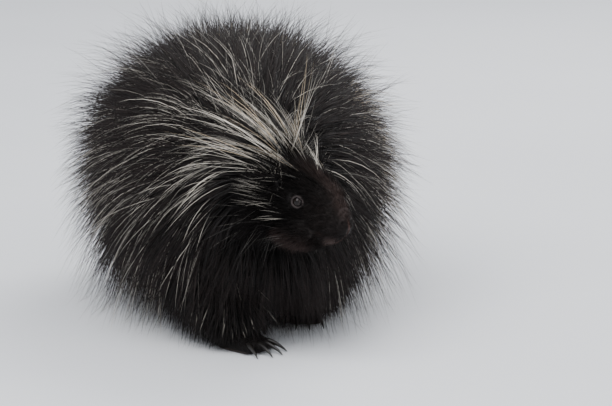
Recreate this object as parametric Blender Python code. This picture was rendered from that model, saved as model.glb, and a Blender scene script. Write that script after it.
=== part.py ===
# A North American porcupine, standing on four feet with its head turned to its left.
# It is a still, life-size model: a smooth body parted into head, neck, torso, tail and legs,
# with the long coat as flat, tapered locks that bend and overlap along its lie.
# Metres, +Z up. The torso heads along -Y, so the animal's left side is at +X.

import math
import random

import bmesh
import bpy
import numpy as np
from mathutils import Matrix, Vector
from mathutils.bvhtree import BVHTree

# Sizes that drive the model
GAP = 0.0003  # between one part and the next
COAT_DEPTH = 0.080  # from the skin to the tips of the locks, on the flanks
TOP_SHARE = 0.98  # of that depth, along the middle of the back
CORE_SHARE = 0.44  # of that depth, which the smooth core fills
BELLY_DEPTH = 0.022
FLOOR_CLEAR = 0.006  # of a lock above the floor
ANKLE_HEIGHT = 0.036
EYE_RADIUS = 0.0062
LID_RADIUS = 0.0064
LID_THICKNESS = 0.0015
SEED = 7

# The body from the rump to the back of the head, as skin: centre x, y, z, half width, height
# above the centre and below it, and the share of the full coat depth there.
BODY_ROWS = (
    (0.030, 0.243, 0.146, 0.006, 0.006, 0.006, 0.30),
    (0.029, 0.228, 0.147, 0.048, 0.043, 0.043, 0.62),
    (0.025, 0.190, 0.153, 0.079, 0.068, 0.066, 0.86),
    (0.016, 0.130, 0.163, 0.100, 0.084, 0.082, 0.98),
    (0.006, 0.060, 0.168, 0.108, 0.088, 0.088, 1.00),
    (0.000, -0.015, 0.167, 0.103, 0.086, 0.085, 1.00),
    (-0.003, -0.085, 0.166, 0.090, 0.079, 0.078, 0.97),
    (-0.006, -0.145, 0.170, 0.073, 0.070, 0.067, 0.88),
    (-0.006, -0.196, 0.178, 0.058, 0.058, 0.056, 0.70),
    (-0.002, -0.232, 0.187, 0.047, 0.046, 0.047, 0.46),
    (0.010, -0.262, 0.186, 0.036, 0.034, 0.036, 0.34),
)
NECK_BEGINS = 7.45  # of those rows, counted from 0
NECK_ENDS = 9.25

TAIL_ROWS = (
    (0.028, 0.200, 0.148, 0.046, 0.038, 0.036, 0.34),
    (0.036, 0.242, 0.130, 0.040, 0.033, 0.031, 0.34),
    (0.049, 0.290, 0.104, 0.036, 0.030, 0.028, 0.34),
    (0.063, 0.340, 0.078, 0.031, 0.026, 0.024, 0.33),
    (0.077, 0.388, 0.058, 0.024, 0.020, 0.018, 0.30),
    (0.086, 0.418, 0.050, 0.014, 0.012, 0.010, 0.26),
    (0.089, 0.428, 0.048, 0.004, 0.004, 0.004, 0.20),
)

# The head in its own frame: x to its left, y back from the nose, z up. Each row has the same
# columns as the body's, from the nape to the tip of the nose.
HEAD_PLACE = Vector((0.0325, -0.290, 0.1742))
HEAD_TURN = math.radians(45)  # to its left
HEAD_DROP = math.radians(23)  # nose down
HEAD_ROWS = (
    (0.0, 0.049, 0.000, 0.0340, 0.0280, 0.0330, 0.10),
    (0.0, 0.035, 0.000, 0.0360, 0.0320, 0.0360, 0.10),
    (0.0, 0.018, 0.000, 0.0335, 0.0340, 0.0375, 0.09),
    (0.0, 0.002, 0.000, 0.0265, 0.0340, 0.0385, 0.03),
    (0.0, -0.010, 0.000, 0.0243, 0.0325, 0.0380, 0.05),
    (0.0, -0.022, 0.001, 0.0224, 0.0285, 0.0362, 0.05),
    (0.0, -0.032, 0.002, 0.0206, 0.0245, 0.0322, 0.035),
    (0.0, -0.040, 0.003, 0.0186, 0.0203, 0.0245, 0.02),
    (0.0, -0.0455, 0.0045, 0.0156, 0.0160, 0.0168, 0.01),
    (0.0, -0.0492, 0.0065, 0.0112, 0.0108, 0.0106, 0.0),
    (0.0, -0.0512, 0.0080, 0.0048, 0.0040, 0.0050, 0.0),
)
EYE_PLACE = Vector((0.0278, 0.000, 0.0095))  # the left one, in the head's frame
EYE_FACING = Vector((1.0, -0.30, 0.12)).normalized()
EYE_SUNK = 0.0042
EAR_PLACE = Vector((0.0375, 0.031, 0.0150))
NOSTRIL_PLACE = Vector((0.0064, -0.0494, 0.0080))
MOUTH_LEVEL = -0.0095
CHIN_PLACE = Vector((0.0, -0.0300, -0.0240))

# Each leg as skin, from inside the body to the ankle: x, y, z, half width, half depth, coat share
FORELEG_RIGHT = (
    (-0.048, -0.112, 0.140, 0.037, 0.042, 0.20),
    (-0.053, -0.128, 0.104, 0.033, 0.037, 0.19),
    (-0.049, -0.158, 0.072, 0.026, 0.028, 0.16),
    (-0.038, -0.188, 0.050, 0.021, 0.021, 0.11),
    (-0.034, -0.196, ANKLE_HEIGHT + GAP, 0.019, 0.019, 0.07),
)
FORELEG_LEFT = (
    (0.046, -0.098, 0.140, 0.037, 0.042, 0.20),
    (0.056, -0.088, 0.104, 0.033, 0.037, 0.19),
    (0.064, -0.078, 0.072, 0.026, 0.028, 0.16),
    (0.068, -0.068, 0.050, 0.021, 0.021, 0.11),
    (0.069, -0.066, ANKLE_HEIGHT + GAP, 0.019, 0.019, 0.07),
)
HINDLEG_RIGHT = (
    (-0.055, 0.118, 0.140, 0.040, 0.052, 0.20),
    (-0.070, 0.104, 0.104, 0.036, 0.048, 0.19),
    (-0.077, 0.112, 0.076, 0.029, 0.036, 0.16),
    (-0.077, 0.132, 0.054, 0.023, 0.026, 0.11),
    (-0.076, 0.142, ANKLE_HEIGHT + GAP, 0.021, 0.022, 0.07),
)
HINDLEG_LEFT = (
    (0.072, 0.134, 0.140, 0.040, 0.052, 0.20),
    (0.088, 0.124, 0.104, 0.036, 0.048, 0.19),
    (0.094, 0.136, 0.076, 0.029, 0.036, 0.16),
    (0.095, 0.158, 0.054, 0.023, 0.026, 0.11),
    (0.095, 0.168, ANKLE_HEIGHT + GAP, 0.021, 0.022, 0.07),
)

# Each foot: side, ankle x and y, the way it points (degrees from straight ahead, to the left)
FEET = {
    "forefoot_right": (-0.034, -0.196, 38.0),
    "forefoot_left": (0.069, -0.066, -14.0),
    "hindfoot_right": (-0.076, 0.142, 14.0),
    "hindfoot_left": (0.095, 0.168, -12.0),
}
# How far the sole reaches behind and before the ankle, its half width, its toes and claws
FORE_SIZES = {"back": 0.020, "front": 0.034, "half": 0.0175, "toes": 4, "claw": 0.027}
HIND_SIZES = {"back": 0.018, "front": 0.058, "half": 0.0205, "toes": 5, "claw": 0.025}

draw = random.Random(SEED)


class Form:
    """A smooth body along a row of sections, each an oval whose top and bottom differ."""

    def __init__(self, rows, matrix=None, square=2.0, belly=BELLY_DEPTH):
        self.rows = np.array(rows, float)
        self.belly = belly
        self.matrix = matrix or Matrix.Identity(4)
        self.power = 2.0 / square

    def row(self, s):
        """The section at s, read from a Catmull-Rom curve through the rows."""
        last = len(self.rows) - 1
        i = min(int(max(s, 0.0)), last - 1)
        t = s - i
        p1, p2 = self.rows[i], self.rows[i + 1]
        p0 = self.rows[i - 1] if i > 0 else 2 * p1 - p2
        p3 = self.rows[i + 2] if i + 2 <= last else 2 * p2 - p1
        cubic = 3 * (p1 - p2) + p3 - p0
        found = p1 + 0.5 * t * (p2 - p0 + t * (2 * p0 - 5 * p1 + 4 * p2 - p3 + t * cubic))
        found[3:6] = np.maximum(found[3:6], 0.002)
        return found

    def axes(self, s):
        """The section's way along the form, to its left and up."""
        step = 0.02
        ahead = Vector(self.row(s + step)[:3] - self.row(s - step)[:3]).normalized()
        helper = Vector((0.0, 0.0, 1.0)) if abs(ahead.z) < 0.8 else Vector((0.0, -1.0, 0.0))
        left = helper.cross(ahead).normalized()
        return ahead, left, ahead.cross(left).normalized()

    def point(self, s, angle, share=0.0):
        """A surface point: angle 0 is the left and 90 degrees the top, share is that of the coat."""
        row = self.row(s)
        _, left, up = self.axes(s)
        across = math.copysign(abs(math.cos(angle)) ** self.power, math.cos(angle))
        rise = math.copysign(abs(math.sin(angle)) ** self.power, math.sin(angle))
        tall = row[4] if rise > 0 else row[5]
        away = Vector((across / row[3], rise / tall)).normalized()
        under = min(1.0, max(0.0, (-rise - 0.25) / 0.6))
        full = COAT_DEPTH * (1 - (1 - TOP_SHARE) * max(0.0, rise))
        depth = row[6] * (full * (1 - under) + self.belly * under) * share
        beside = left * (across * row[3] + away.x * depth)
        place = Vector(row[:3]) + beside + up * (rise * tall + away.y * depth)
        return self.matrix @ place

    def surface(self, s, angle, share):
        """The point there, the way out of the surface, and the way back along it."""
        small = 0.01
        place = self.point(s, angle, share)
        along = self.point(s + small, angle, share) - self.point(s - small, angle, share)
        around = self.point(s, angle + small, share) - self.point(s, angle - small, share)
        out = around.cross(along).normalized()
        middle = self.matrix @ Vector(self.row(s)[:3])
        if out.dot(place - middle) < 0:
            out = -out
        return place, out, -along.normalized()

    def mesh(self, first, last, rings, sides, share=0.0, grow=0.0, shift=0.0):
        """The form between two sections, closed by flat ends. grow fattens it all round, as a
        cutter, and shift moves the first end forward."""
        bm = bmesh.new()
        loops = []
        for k in range(rings + 1):
            s = first + (last - first) * k / rings
            loop = [self.point(s, math.tau * i / sides, share) for i in range(sides)]
            if k == 0 and shift:
                ahead = (self.matrix.to_3x3() @ self.axes(s)[0]).normalized()
                loop = [place + ahead * shift for place in loop]
            loops.append([bm.verts.new(place) for place in loop])
        bridge(bm, loops)
        if grow:
            bm.normal_update()
            for vertex, away in [(v, v.normal.copy()) for v in bm.verts]:
                vertex.co += away * grow * 1.4
        return bm


def bridge(bm, loops):
    """Faces between each loop of points and the next, with both ends closed."""
    sides = len(loops[0])
    for one, two in zip(loops, loops[1:]):
        for i in range(sides):
            j = (i + 1) % sides
            bm.faces.new((one[i], one[j], two[j], two[i]))
    bm.faces.new(loops[0][::-1])
    bm.faces.new(loops[-1])
    bmesh.ops.recalc_face_normals(bm, faces=bm.faces)


def make_object(name, bm, collection):
    mesh = bpy.data.meshes.new(name)
    bm.to_mesh(mesh)
    bm.free()
    made = bpy.data.objects.new(name, mesh)
    collection.objects.link(made)
    return made


def evaluated_mesh(obj):
    bpy.context.view_layer.update()
    graph = bpy.context.evaluated_depsgraph_get()
    return bpy.data.meshes.new_from_object(obj.evaluated_get(graph))


def keep_largest(mesh):
    """Drops every closed surface of the mesh but the largest."""
    bm = bmesh.new()
    bm.from_mesh(mesh)
    bmesh.ops.triangulate(bm, faces=bm.faces)
    left = set(bm.verts)
    groups = []
    while left:
        group = {left.pop()}
        edge = list(group)
        while edge:
            near = {e.other_vert(v) for v in edge for e in v.link_edges} & left
            left -= near
            group |= near
            edge = list(near)
        groups.append(group)
    if len(groups) > 1:
        def volume(group):
            faces = {f for v in group for f in v.link_faces}
            return abs(sum(f.verts[0].co.cross(f.verts[1].co).dot(f.verts[2].co) for f in faces))
        groups.sort(key=volume)
        for group in groups[:-1]:
            bmesh.ops.delete(bm, geom=list(group), context="VERTS")
    bm.to_mesh(mesh)
    bm.free()


def combine(base, pieces, operation="UNION", solver="MANIFOLD"):
    """Joins the pieces to the base, or cuts them from it, in one Boolean on a collection."""
    if not pieces:
        return base
    helpers = bpy.data.collections.new("helpers")
    bpy.context.scene.collection.children.link(helpers)
    for piece in pieces:
        for owner in list(piece.users_collection):
            owner.objects.unlink(piece)
        helpers.objects.link(piece)
    cut = base.modifiers.new("combine", "BOOLEAN")
    cut.operation = operation
    cut.operand_type = "COLLECTION"
    cut.collection = helpers
    cut.solver = solver
    mesh = evaluated_mesh(base)
    base.modifiers.remove(cut)
    base.data = mesh
    keep_largest(base.data)
    for piece in list(helpers.objects):
        bpy.data.objects.remove(piece)
    bpy.data.collections.remove(helpers)
    return base


def tree_of(obj):
    """A search tree of the object's faces, for tests of what touches what."""
    points = [v.co.copy() for v in obj.data.vertices]
    return BVHTree.FromPolygons(points, [tuple(p.vertices) for p in obj.data.polygons])


def ball(place, sizes, matrix=None, segments=12, rings=8):
    """An ellipsoid with these half sizes."""
    bm = bmesh.new()
    bmesh.ops.create_uvsphere(bm, u_segments=segments, v_segments=rings, radius=1.0)
    scaled = Matrix.Translation(place) @ Matrix.Diagonal((*sizes, 1.0))
    bmesh.ops.transform(bm, matrix=(matrix or Matrix.Identity(4)) @ scaled, verts=bm.verts)
    return bm


# How a lock's width and thickness change from its root to its tip
LOCK_WIDTHS = (0.50, 0.92, 1.00, 0.66)
LOCK_THICKNESSES = (0.80, 1.00, 0.80, 0.50)


def lock_path(place, out, lie, length, lift, droop, sink):
    """Points along a lock that starts under the surface, rises by lift and bends down by droop."""
    heading = (lie * math.cos(lift) + out * math.sin(lift)).normalized()
    here = place - out * sink - heading * sink * 0.3
    path = [here.copy()]
    count = len(LOCK_WIDTHS)
    step = (length + sink) / count
    for _ in range(count):
        heading = (heading + Vector((0.0, 0.0, -droop)) + lie * 0.10).normalized()
        here = here + heading * step
        here.z = max(here.z, FLOOR_CLEAR)
        path.append(here.copy())
    return path


def lock_mesh(path, out, width, thickness, fatter=0.0):
    """A flat, tapered lock along the path: a low ridge over a flat underside, ending in a point."""
    bm = bmesh.new()
    loops = []
    for k, (wide, thick) in enumerate(zip(LOCK_WIDTHS, LOCK_THICKNESSES)):
        before = path[max(k - 1, 0)]
        ahead = (path[k + 1] - before).normalized()
        across = ahead.cross(out).normalized()
        over = across.cross(ahead).normalized()
        half = across * (wide * width / 2 + fatter)
        top = over * (thick * thickness + fatter)
        corners = (path[k] - half - over * fatter, path[k] + half - over * fatter, path[k] + top)
        loops.append([bm.verts.new(corner) for corner in corners])
    tip = bm.verts.new(path[-1] + (path[-1] - path[-2]).normalized() * fatter)
    for one, two in zip(loops, loops[1:]):
        for i in range(3):
            j = (i + 1) % 3
            bm.faces.new((one[i], one[j], two[j], two[i]))
    for i in range(3):
        bm.faces.new((loops[-1][i], loops[-1][(i + 1) % 3], tip))
    bm.faces.new(loops[0][::-1])
    bmesh.ops.recalc_face_normals(bm, faces=bm.faces)
    return bm


# What is tried in turn for a lock that would touch another part: its extra lift, and its length
TRIES = ((0.0, 1.0), (0.15, 1.0), (0.3, 0.92), (0.45, 0.82), (0.3, 0.7), (0.6, 0.7), (0.3, 0.6), (0.8, 0.5))


def place_lock(form, s, angle, share, size, obstacles, pieces, collection):
    """Adds one lock rooted on the form, with the lowest lift that keeps it clear of the obstacles."""
    place, out, back = form.surface(s, angle, share)
    lean = Vector((0.0, 0.0, -1.0)) * size["hang"]
    lie = back + lean - out * (back + lean).dot(out)
    lie = (lie + out.cross(lie) * draw.uniform(-0.16, 0.16)).normalized()
    length = size["length"] * draw.uniform(0.88, 1.10)
    lift = math.radians(size["lift"] * draw.uniform(0.85, 1.15))
    for extra, shorter in TRIES:
        path = lock_path(place, out, lie, length * shorter, lift + extra, size["droop"], size["sink"])
        wider = 0.75 + 0.25 * shorter
        test = lock_mesh(path, out, size["width"] * wider, size["thickness"], fatter=2 * GAP)
        tree = BVHTree.FromBMesh(test)
        test.free()
        if any(tree.overlap(other) for other in obstacles):
            continue
        name = f"lock_{len(pieces):03d}"
        made = lock_mesh(path, out, size["width"] * wider, size["thickness"])
        pieces.append(make_object(name, made, collection))
        return


def lock_rows(form, share, rows, size, obstacles, collection):
    """Locks in staggered rows. Each row gives its section, its first and last angle and its count."""
    pieces = []
    for k, (s, low, high, count) in enumerate(rows):
        for i in range(count):
            part = (i + 0.5 + (0.25 if k % 2 else -0.25)) / count + draw.uniform(-0.16, 0.16) / count
            angle = math.radians(low + (high - low) * part)
            here = s + draw.uniform(-0.09, 0.09)
            place_lock(form, here, angle, share, size(here, angle), obstacles, pieces, collection)
    return pieces


def head_matrix():
    turn = Matrix.Rotation(HEAD_TURN, 4, "Z")
    drop = Matrix.Rotation(HEAD_DROP, 4, "X")
    return Matrix.Translation(HEAD_PLACE) @ turn @ drop


def mirrored(place, side):
    """The place on the left or, where side is -1, on the right."""
    return Vector((place.x * side, place.y, place.z))


def eye_centre(side):
    return mirrored(EYE_PLACE - EYE_FACING * EYE_SUNK, side)


def make_head_core(collection, neck_tree):
    """The skull's outline with chin, lids, nostrils and the line of the mouth."""
    matrix = head_matrix()
    skull = Form(HEAD_ROWS, matrix, square=2.15, belly=COAT_DEPTH)
    head = make_object("head", skull_mesh(skull), collection)
    tree = tree_of(head)
    joined = [make_object("chin", ball(CHIN_PLACE, (0.0122, 0.0115, 0.0085), matrix, 10, 7), collection)]
    cutters = []
    for side in (1, -1):
        facing = mirrored(EYE_FACING, side)
        aim = facing.to_track_quat("Z", "Y").to_matrix().to_4x4()
        turn = Matrix.Translation(mirrored(EYE_PLACE, side)) @ aim
        lid = lid_ring(matrix @ turn)
        joined.append(make_object("lid", lid, collection))
        nostril = ball(mirrored(NOSTRIL_PLACE, side), (0.0020, 0.0045, 0.0030), matrix, 8, 6)
        cutters.append(make_object("nostril", nostril, collection))
        socket = ball(eye_centre(side), (EYE_RADIUS + GAP,) * 3, matrix, 12, 7)
        cutters.append(make_object("socket", socket, collection))
    cutters.append(mouth_cutter(matrix, tree, collection))
    combine(head, joined)
    combine(head, cutters, "DIFFERENCE")
    return head, skull


def skull_mesh(skull, grow=0.0):
    """The head out to the surface of its short fur."""
    return skull.mesh(0.0, len(HEAD_ROWS) - 1.0, 14, 16, share=1.0, grow=grow)


def lid_ring(matrix, around=12, sides=4):
    """The bare rim round an eye, as a ring that stands a little out of the face."""
    bm = bmesh.new()
    loops = []
    for k in range(around):
        turn = math.tau * k / around
        middle = Vector((math.cos(turn), math.sin(turn), 0.0)) * LID_RADIUS
        loop = []
        for i in range(sides):
            a = math.tau * i / sides
            level = Vector((math.cos(turn), math.sin(turn), 0.0))
            away = level * math.cos(a) + Vector((0.0, 0.0, math.sin(a)))
            loop.append(bm.verts.new(matrix @ (middle + away * LID_THICKNESS)))
        loops.append(loop)
    for k in range(around):
        one, two = loops[k], loops[(k + 1) % around]
        for i in range(sides):
            j = (i + 1) % sides
            bm.faces.new((one[i], one[j], two[j], two[i]))
    bmesh.ops.recalc_face_normals(bm, faces=bm.faces)
    return bm


def mouth_cutter(matrix, head_tree, collection, radius=0.0013):
    """A thin tube along the line of the mouth, half sunk in the face."""
    to_head = matrix.inverted()
    path = []
    places = ((-0.022, 0), (-0.026, 0), (-0.030, 4), (-0.030, 22), (-0.030, 40), (-0.030, 58), (-0.030, 90))
    for back, turn in places:
        outward = Vector((math.cos(math.radians(turn)), -math.sin(math.radians(turn)), 0.0))
        sunk = 0.0030 * max(0.0, 1.0 - turn / 50 - (-0.022 - back) / 0.020)
        start = Vector((0.0, back, MOUTH_LEVEL - sunk)) + outward * 0.06
        hit = head_tree.ray_cast(matrix @ start, matrix.to_3x3() @ -outward)[0]
        path.append(to_head @ hit)
    path[-1].x = 0.0
    path = path + [mirrored(p, -1) for p in reversed(path[:-1])]
    curve = bpy.data.curves.new("mouth", "CURVE")
    curve.dimensions = "3D"
    curve.bevel_depth = radius
    curve.bevel_resolution = 1
    curve.use_fill_caps = True
    spline = curve.splines.new("POLY")
    spline.points.add(len(path) - 1)
    for point, place in zip(spline.points, path):
        point.co = (*(matrix @ place), 1.0)
    guide = bpy.data.objects.new("mouth", curve)
    collection.objects.link(guide)
    mesh = evaluated_mesh(guide)
    bpy.data.objects.remove(guide)
    bm = bmesh.new()
    bm.from_mesh(mesh)
    bmesh.ops.remove_doubles(bm, verts=bm.verts, dist=1e-6)
    bmesh.ops.recalc_face_normals(bm, faces=bm.faces)
    return make_object("mouth", bm, collection)


def ear_body(name, side, collection, grow=0.0):
    """The ear's outline. grow makes the cutter that keeps the neck clear of it."""
    tilt = Matrix.Translation(mirrored(EAR_PLACE, side)) @ Matrix.Rotation(math.radians(side * 24), 4, "Y")
    matrix = head_matrix() @ tilt
    sizes = (0.0048 + grow, 0.0100 + grow, 0.0150 + grow)
    return make_object(name, ball(Vector(), sizes, matrix, 10, 8), collection)


def make_ear(name, side, skull, collection):
    """A small round cup, set in the fur behind the eye and cut to the head's surface."""
    matrix = head_matrix()
    tilt = Matrix.Translation(mirrored(EAR_PLACE, side)) @ Matrix.Rotation(math.radians(side * 24), 4, "Y")
    ear = ear_body(name, side, collection)
    hollow = Vector((side * 0.0034, -0.0034, 0.0028))
    cup = make_object("cup", ball(hollow, (0.0034, 0.0082, 0.0105), matrix @ tilt, 10, 7), collection)
    combine(ear, [cup], "DIFFERENCE")
    head = make_object("cutter", skull_mesh(skull, GAP), collection)
    return combine(ear, [head], "DIFFERENCE")


def make_claw(name, base, heading, length, fall, collection, grow=0.0):
    """A curved claw that tapers to its tip. grow makes the cutter for its socket in the toe."""
    rings, sides = 4, 5
    bm = bmesh.new()
    loops = []
    side = Vector((0.0, 0.0, 1.0)).cross(heading).normalized()
    here = base.copy()
    for k in range(rings):
        bend = math.radians(8 + fall * k / (rings - 1))
        ahead = heading * math.cos(bend) - Vector((0.0, 0.0, math.sin(bend)))
        up = ahead.cross(side).normalized()
        radius = 0.0026 * (1 - 0.20 * k) + grow
        loop = []
        for i in range(sides):
            turn = math.tau * i / sides
            corner = side * math.cos(turn) * 0.8 + up * math.sin(turn)
            loop.append(bm.verts.new(here + corner * radius))
        loops.append(loop)
        if k == 0 and grow:
            for vertex in loop:
                vertex.co -= ahead * grow
        here = here + ahead * length / rings
    tip = bm.verts.new(here + ahead * grow)
    for one, two in zip(loops, loops[1:]):
        for i in range(sides):
            j = (i + 1) % sides
            bm.faces.new((one[i], one[j], two[j], two[i]))
    for i in range(sides):
        bm.faces.new((loops[-1][i], loops[-1][(i + 1) % sides], tip))
    bm.faces.new(loops[0][::-1])
    bmesh.ops.recalc_face_normals(bm, faces=bm.faces)
    return make_object(name, bm, collection)


def make_foot(name, sizes, collection):
    """A foot with a flat sole, and its claws as objects of their own."""
    x, y, turn = FEET[name]
    frame = Matrix.Translation((x, y, 0.0)) @ Matrix.Rotation(math.radians(turn), 4, "Z")
    back, front, half = sizes["back"], sizes["front"], sizes["half"]
    rows = (
        (0.0, back, 0.010, half * 0.45, 0.008, 0.012, 0.0),
        (0.0, back * 0.75, 0.012, half * 0.80, 0.013, 0.016, 0.0),
        (0.0, 0.0, 0.012, half * 0.95, 0.017, 0.018, 0.0),
        (0.0, -front * 0.45, 0.010, half, 0.013, 0.016, 0.0),
        (0.0, -front * 0.85, 0.008, half * 1.02, 0.009, 0.014, 0.0),
        (0.0, -front, 0.007, half * 0.86, 0.006, 0.011, 0.0),
    )
    pad = Form(rows, frame, square=2.6).mesh(0.0, 5.0, 4, 10)
    flatten(pad)
    foot = make_object(name, pad, collection)
    radius = 0.0205 if sizes is FORE_SIZES else 0.0228
    stub = bmesh.new()
    ankle = Matrix.Translation((x, y, (ANKLE_HEIGHT + 0.010) / 2))
    bmesh.ops.create_cone(stub, cap_ends=True, segments=9, radius1=radius, radius2=radius,
                          depth=ANKLE_HEIGHT - 0.010, matrix=ankle)
    joined = [make_object("stub", stub, collection)]
    claws = []
    cutters = []
    count = sizes["toes"]
    for k in range(count):
        part = 2 * k / (count - 1) - 1
        spread = math.radians(-20 * part)
        ahead = front + 0.003 - 0.007 * part * part
        middle = Vector((part * half * 0.80, -ahead, 0.0072))
        turned = frame @ Matrix.Translation(middle) @ Matrix.Rotation(-spread, 4, "Z")
        toe = ball(Vector(), (0.0050, 0.0105, 0.0070), turned, 6, 4)
        flatten(toe)
        joined.append(make_object("toe", toe, collection))
        turned = frame.to_3x3() @ Matrix.Rotation(-spread, 3, "Z")
        heading = (turned @ Vector((0.0, -1.0, 0.0))).normalized()
        base = frame @ (middle + Vector((0.0, 0.0, 0.0035))) + heading * 0.0045
        claw_name = name.replace("foot", "_claw") + f"_{k + 1}"
        claws.append(make_claw(claw_name, base, heading, sizes["claw"], 30, collection))
        cutters.append(make_claw("cutter", base, heading, sizes["claw"], 30, collection, grow=GAP))
    combine(foot, joined)
    combine(foot, cutters, "DIFFERENCE")
    return foot, claws


def flatten(bm, level=0.0):
    """Brings what reaches below the level up to it, as a flat end."""
    for vertex in bm.verts:
        vertex.co.z = max(vertex.co.z, level)


def make_leg_core(name, rows, body, collection):
    """A leg's smooth core, cut to the body's underside with the gap between."""
    last = rows[-1]
    full = [(x, y, z, wide, deep, deep, share) for x, y, z, wide, deep, share in rows]
    full.append((last[0], last[1], last[2] - 0.02, last[3], last[4], last[4], last[5]))
    form = Form(full)
    bm = form.mesh(0.0, len(rows) - 1.0, 8, 12, share=0.30)
    flatten(bm, ANKLE_HEIGHT + GAP)
    leg = make_object(name, bm, collection)
    cutters = [torso_core_mesh(body, GAP), neck_core_mesh(body, GAP)]
    return combine(leg, [make_object("cutter", bm, collection) for bm in cutters], "DIFFERENCE"), form


def torso_core_mesh(body, grow=0.0):
    """The torso's core, which runs from the rump to where the neck begins."""
    return body.mesh(0.0, NECK_BEGINS, 14, 22, share=CORE_SHARE, grow=grow)


def neck_core_mesh(body, grow=0.0):
    """The neck's core, from there to inside the back of the head."""
    return body.mesh(NECK_BEGINS, NECK_ENDS, 5, 20, share=CORE_SHARE, grow=grow, shift=GAP)


def torso_lock_size(s, angle):
    """The full coat: it fans out round the shoulders, lies back over the rump and hangs on the flanks."""
    low = min(1.0, max(0.0, -1.4 * math.sin(angle)))
    flank = abs(math.cos(angle))
    front = min(1.0, max(0.0, (s - 4.5) / 2.5))
    rump = min(1.0, max(0.0, (2.4 - s) / 2.4))
    skirt = min(1.0, 1.8 * low) * (1.0 - rump)
    return {
        "length": 0.106 + 0.010 * flank - 0.014 * front - 0.022 * rump + 0.030 * skirt,
        "width": 0.046 - 0.009 * rump,
        "thickness": 0.0085,
        "lift": 42 + 6 * flank + 8 * front - 8 * rump - 14 * low,
        "droop": 0.10 + 0.09 * flank + 0.26 * low,
        "hang": 0.20 + 3.0 * low + 0.25 * flank,
        "sink": 0.013,
    }


def belly_lock_size(s, angle):
    """The long hair of chest and belly, which hangs between the legs."""
    under = max(0.0, -math.sin(angle))
    return {
        "length": 0.076,
        "width": 0.040,
        "thickness": 0.0080,
        "lift": 25 + 45 * under,
        "droop": 0.20,
        "hang": 0.8,
        "sink": 0.008,
    }


def neck_lock_size(s, angle):
    """The ruff: it shortens towards the head."""
    front = min(1.0, max(0.0, (s - NECK_BEGINS) / 1.8))
    low = max(0.0, -math.sin(angle))
    return {
        "length": 0.088 - 0.034 * front - 0.018 * low,
        "width": 0.032 - 0.008 * front,
        "thickness": 0.0070,
        "lift": 46 + 8 * front,
        "droop": 0.12,
        "hang": 0.25 + 0.45 * low,
        "sink": 0.010,
    }


def head_lock_size(s, angle):
    """The crest on the crown, longest at the nape, with short locks before and behind the ears."""
    nape = min(1.0, max(0.0, (3.6 - s) / 3.0))
    side = abs(math.cos(angle))
    return {
        "length": 0.022 + 0.034 * nape - 0.012 * side,
        "width": 0.017,
        "thickness": 0.0042,
        "lift": 36 + 10 * nape,
        "droop": 0.04 + 0.10 * side,
        "hang": 0.0,
        "sink": 0.006,
    }


def tail_lock_size(s, angle):
    """Stiff hairs and quills along the tail, shortest underneath."""
    low = max(0.0, -math.sin(angle))
    return {
        "length": 0.052 - 0.018 * low,
        "width": 0.022,
        "thickness": 0.0055,
        "lift": 30 - 8 * low,
        "droop": 0.06,
        "hang": 0.0,
        "sink": 0.007,
    }


def leg_lock_size(s, angle):
    """Hair that hangs down the leg."""
    return {
        "length": 0.066 - 0.008 * s,
        "width": 0.030,
        "thickness": 0.0060,
        "lift": 28,
        "droop": 0.14,
        "hang": 1.4,
        "sink": 0.006,
    }


# Where the rows of locks run: section, first and last angle, and how many
TORSO_LOCKS = (
    (0.55, -50, 230, 6),
    (1.20, -50, 230, 9),
    (1.90, -50, 230, 12),
    (2.60, -50, 230, 13),
    (3.30, -50, 230, 14),
    (4.00, -50, 230, 14),
    (4.70, -50, 230, 14),
    (5.35, -50, 230, 14),
    (5.95, -50, 230, 13),
    (6.55, -50, 230, 12),
    (7.10, -48, 228, 11),
)
BELLY_LOCKS = ((4.4, -128, -52, 2), (5.4, -128, -52, 3), (6.2, -128, -52, 3), (6.9, -132, -48, 4))
NECK_LOCKS = ((7.65, -80, 260, 12), (8.15, -80, 260, 11), (8.6, -80, 260, 10), (9.0, -80, 260, 8))
HEAD_LOCKS = ((0.5, -10, 190, 6), (1.4, 5, 175, 6), (2.3, 30, 150, 5), (3.2, 50, 130, 3))
TAIL_LOCKS = (
    (1.7, -40, 220, 5),
    (2.5, -40, 220, 6),
    (3.3, -40, 220, 5),
    (4.1, -40, 220, 5),
    (4.9, -40, 220, 3),
)
LEG_LOCKS = ((1.8, 0, 360, 5), (2.8, 0, 360, 4))


def colour_material(name, colour, roughness):
    material = bpy.data.materials.new(name)
    material.use_nodes = True
    shader = material.node_tree.nodes["Principled BSDF"]
    shader.inputs["Base Color"].default_value = (*colour, 1.0)
    shader.inputs["Roughness"].default_value = roughness
    shader.inputs["Metallic"].default_value = 0.0
    return material


def rest_on_origin(objects):
    """Moves every mesh so that the whole stands on the origin, at the middle of its box."""
    points = np.array([v.co for obj in objects for v in obj.data.vertices])
    low, high = points.min(0), points.max(0)
    move = Matrix.Translation((-(low[0] + high[0]) / 2, -(low[1] + high[1]) / 2, 0.0))
    for obj in objects:
        obj.data.transform(move)
    print("moved by", [round(value, 5) for value in move.translation])


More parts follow.
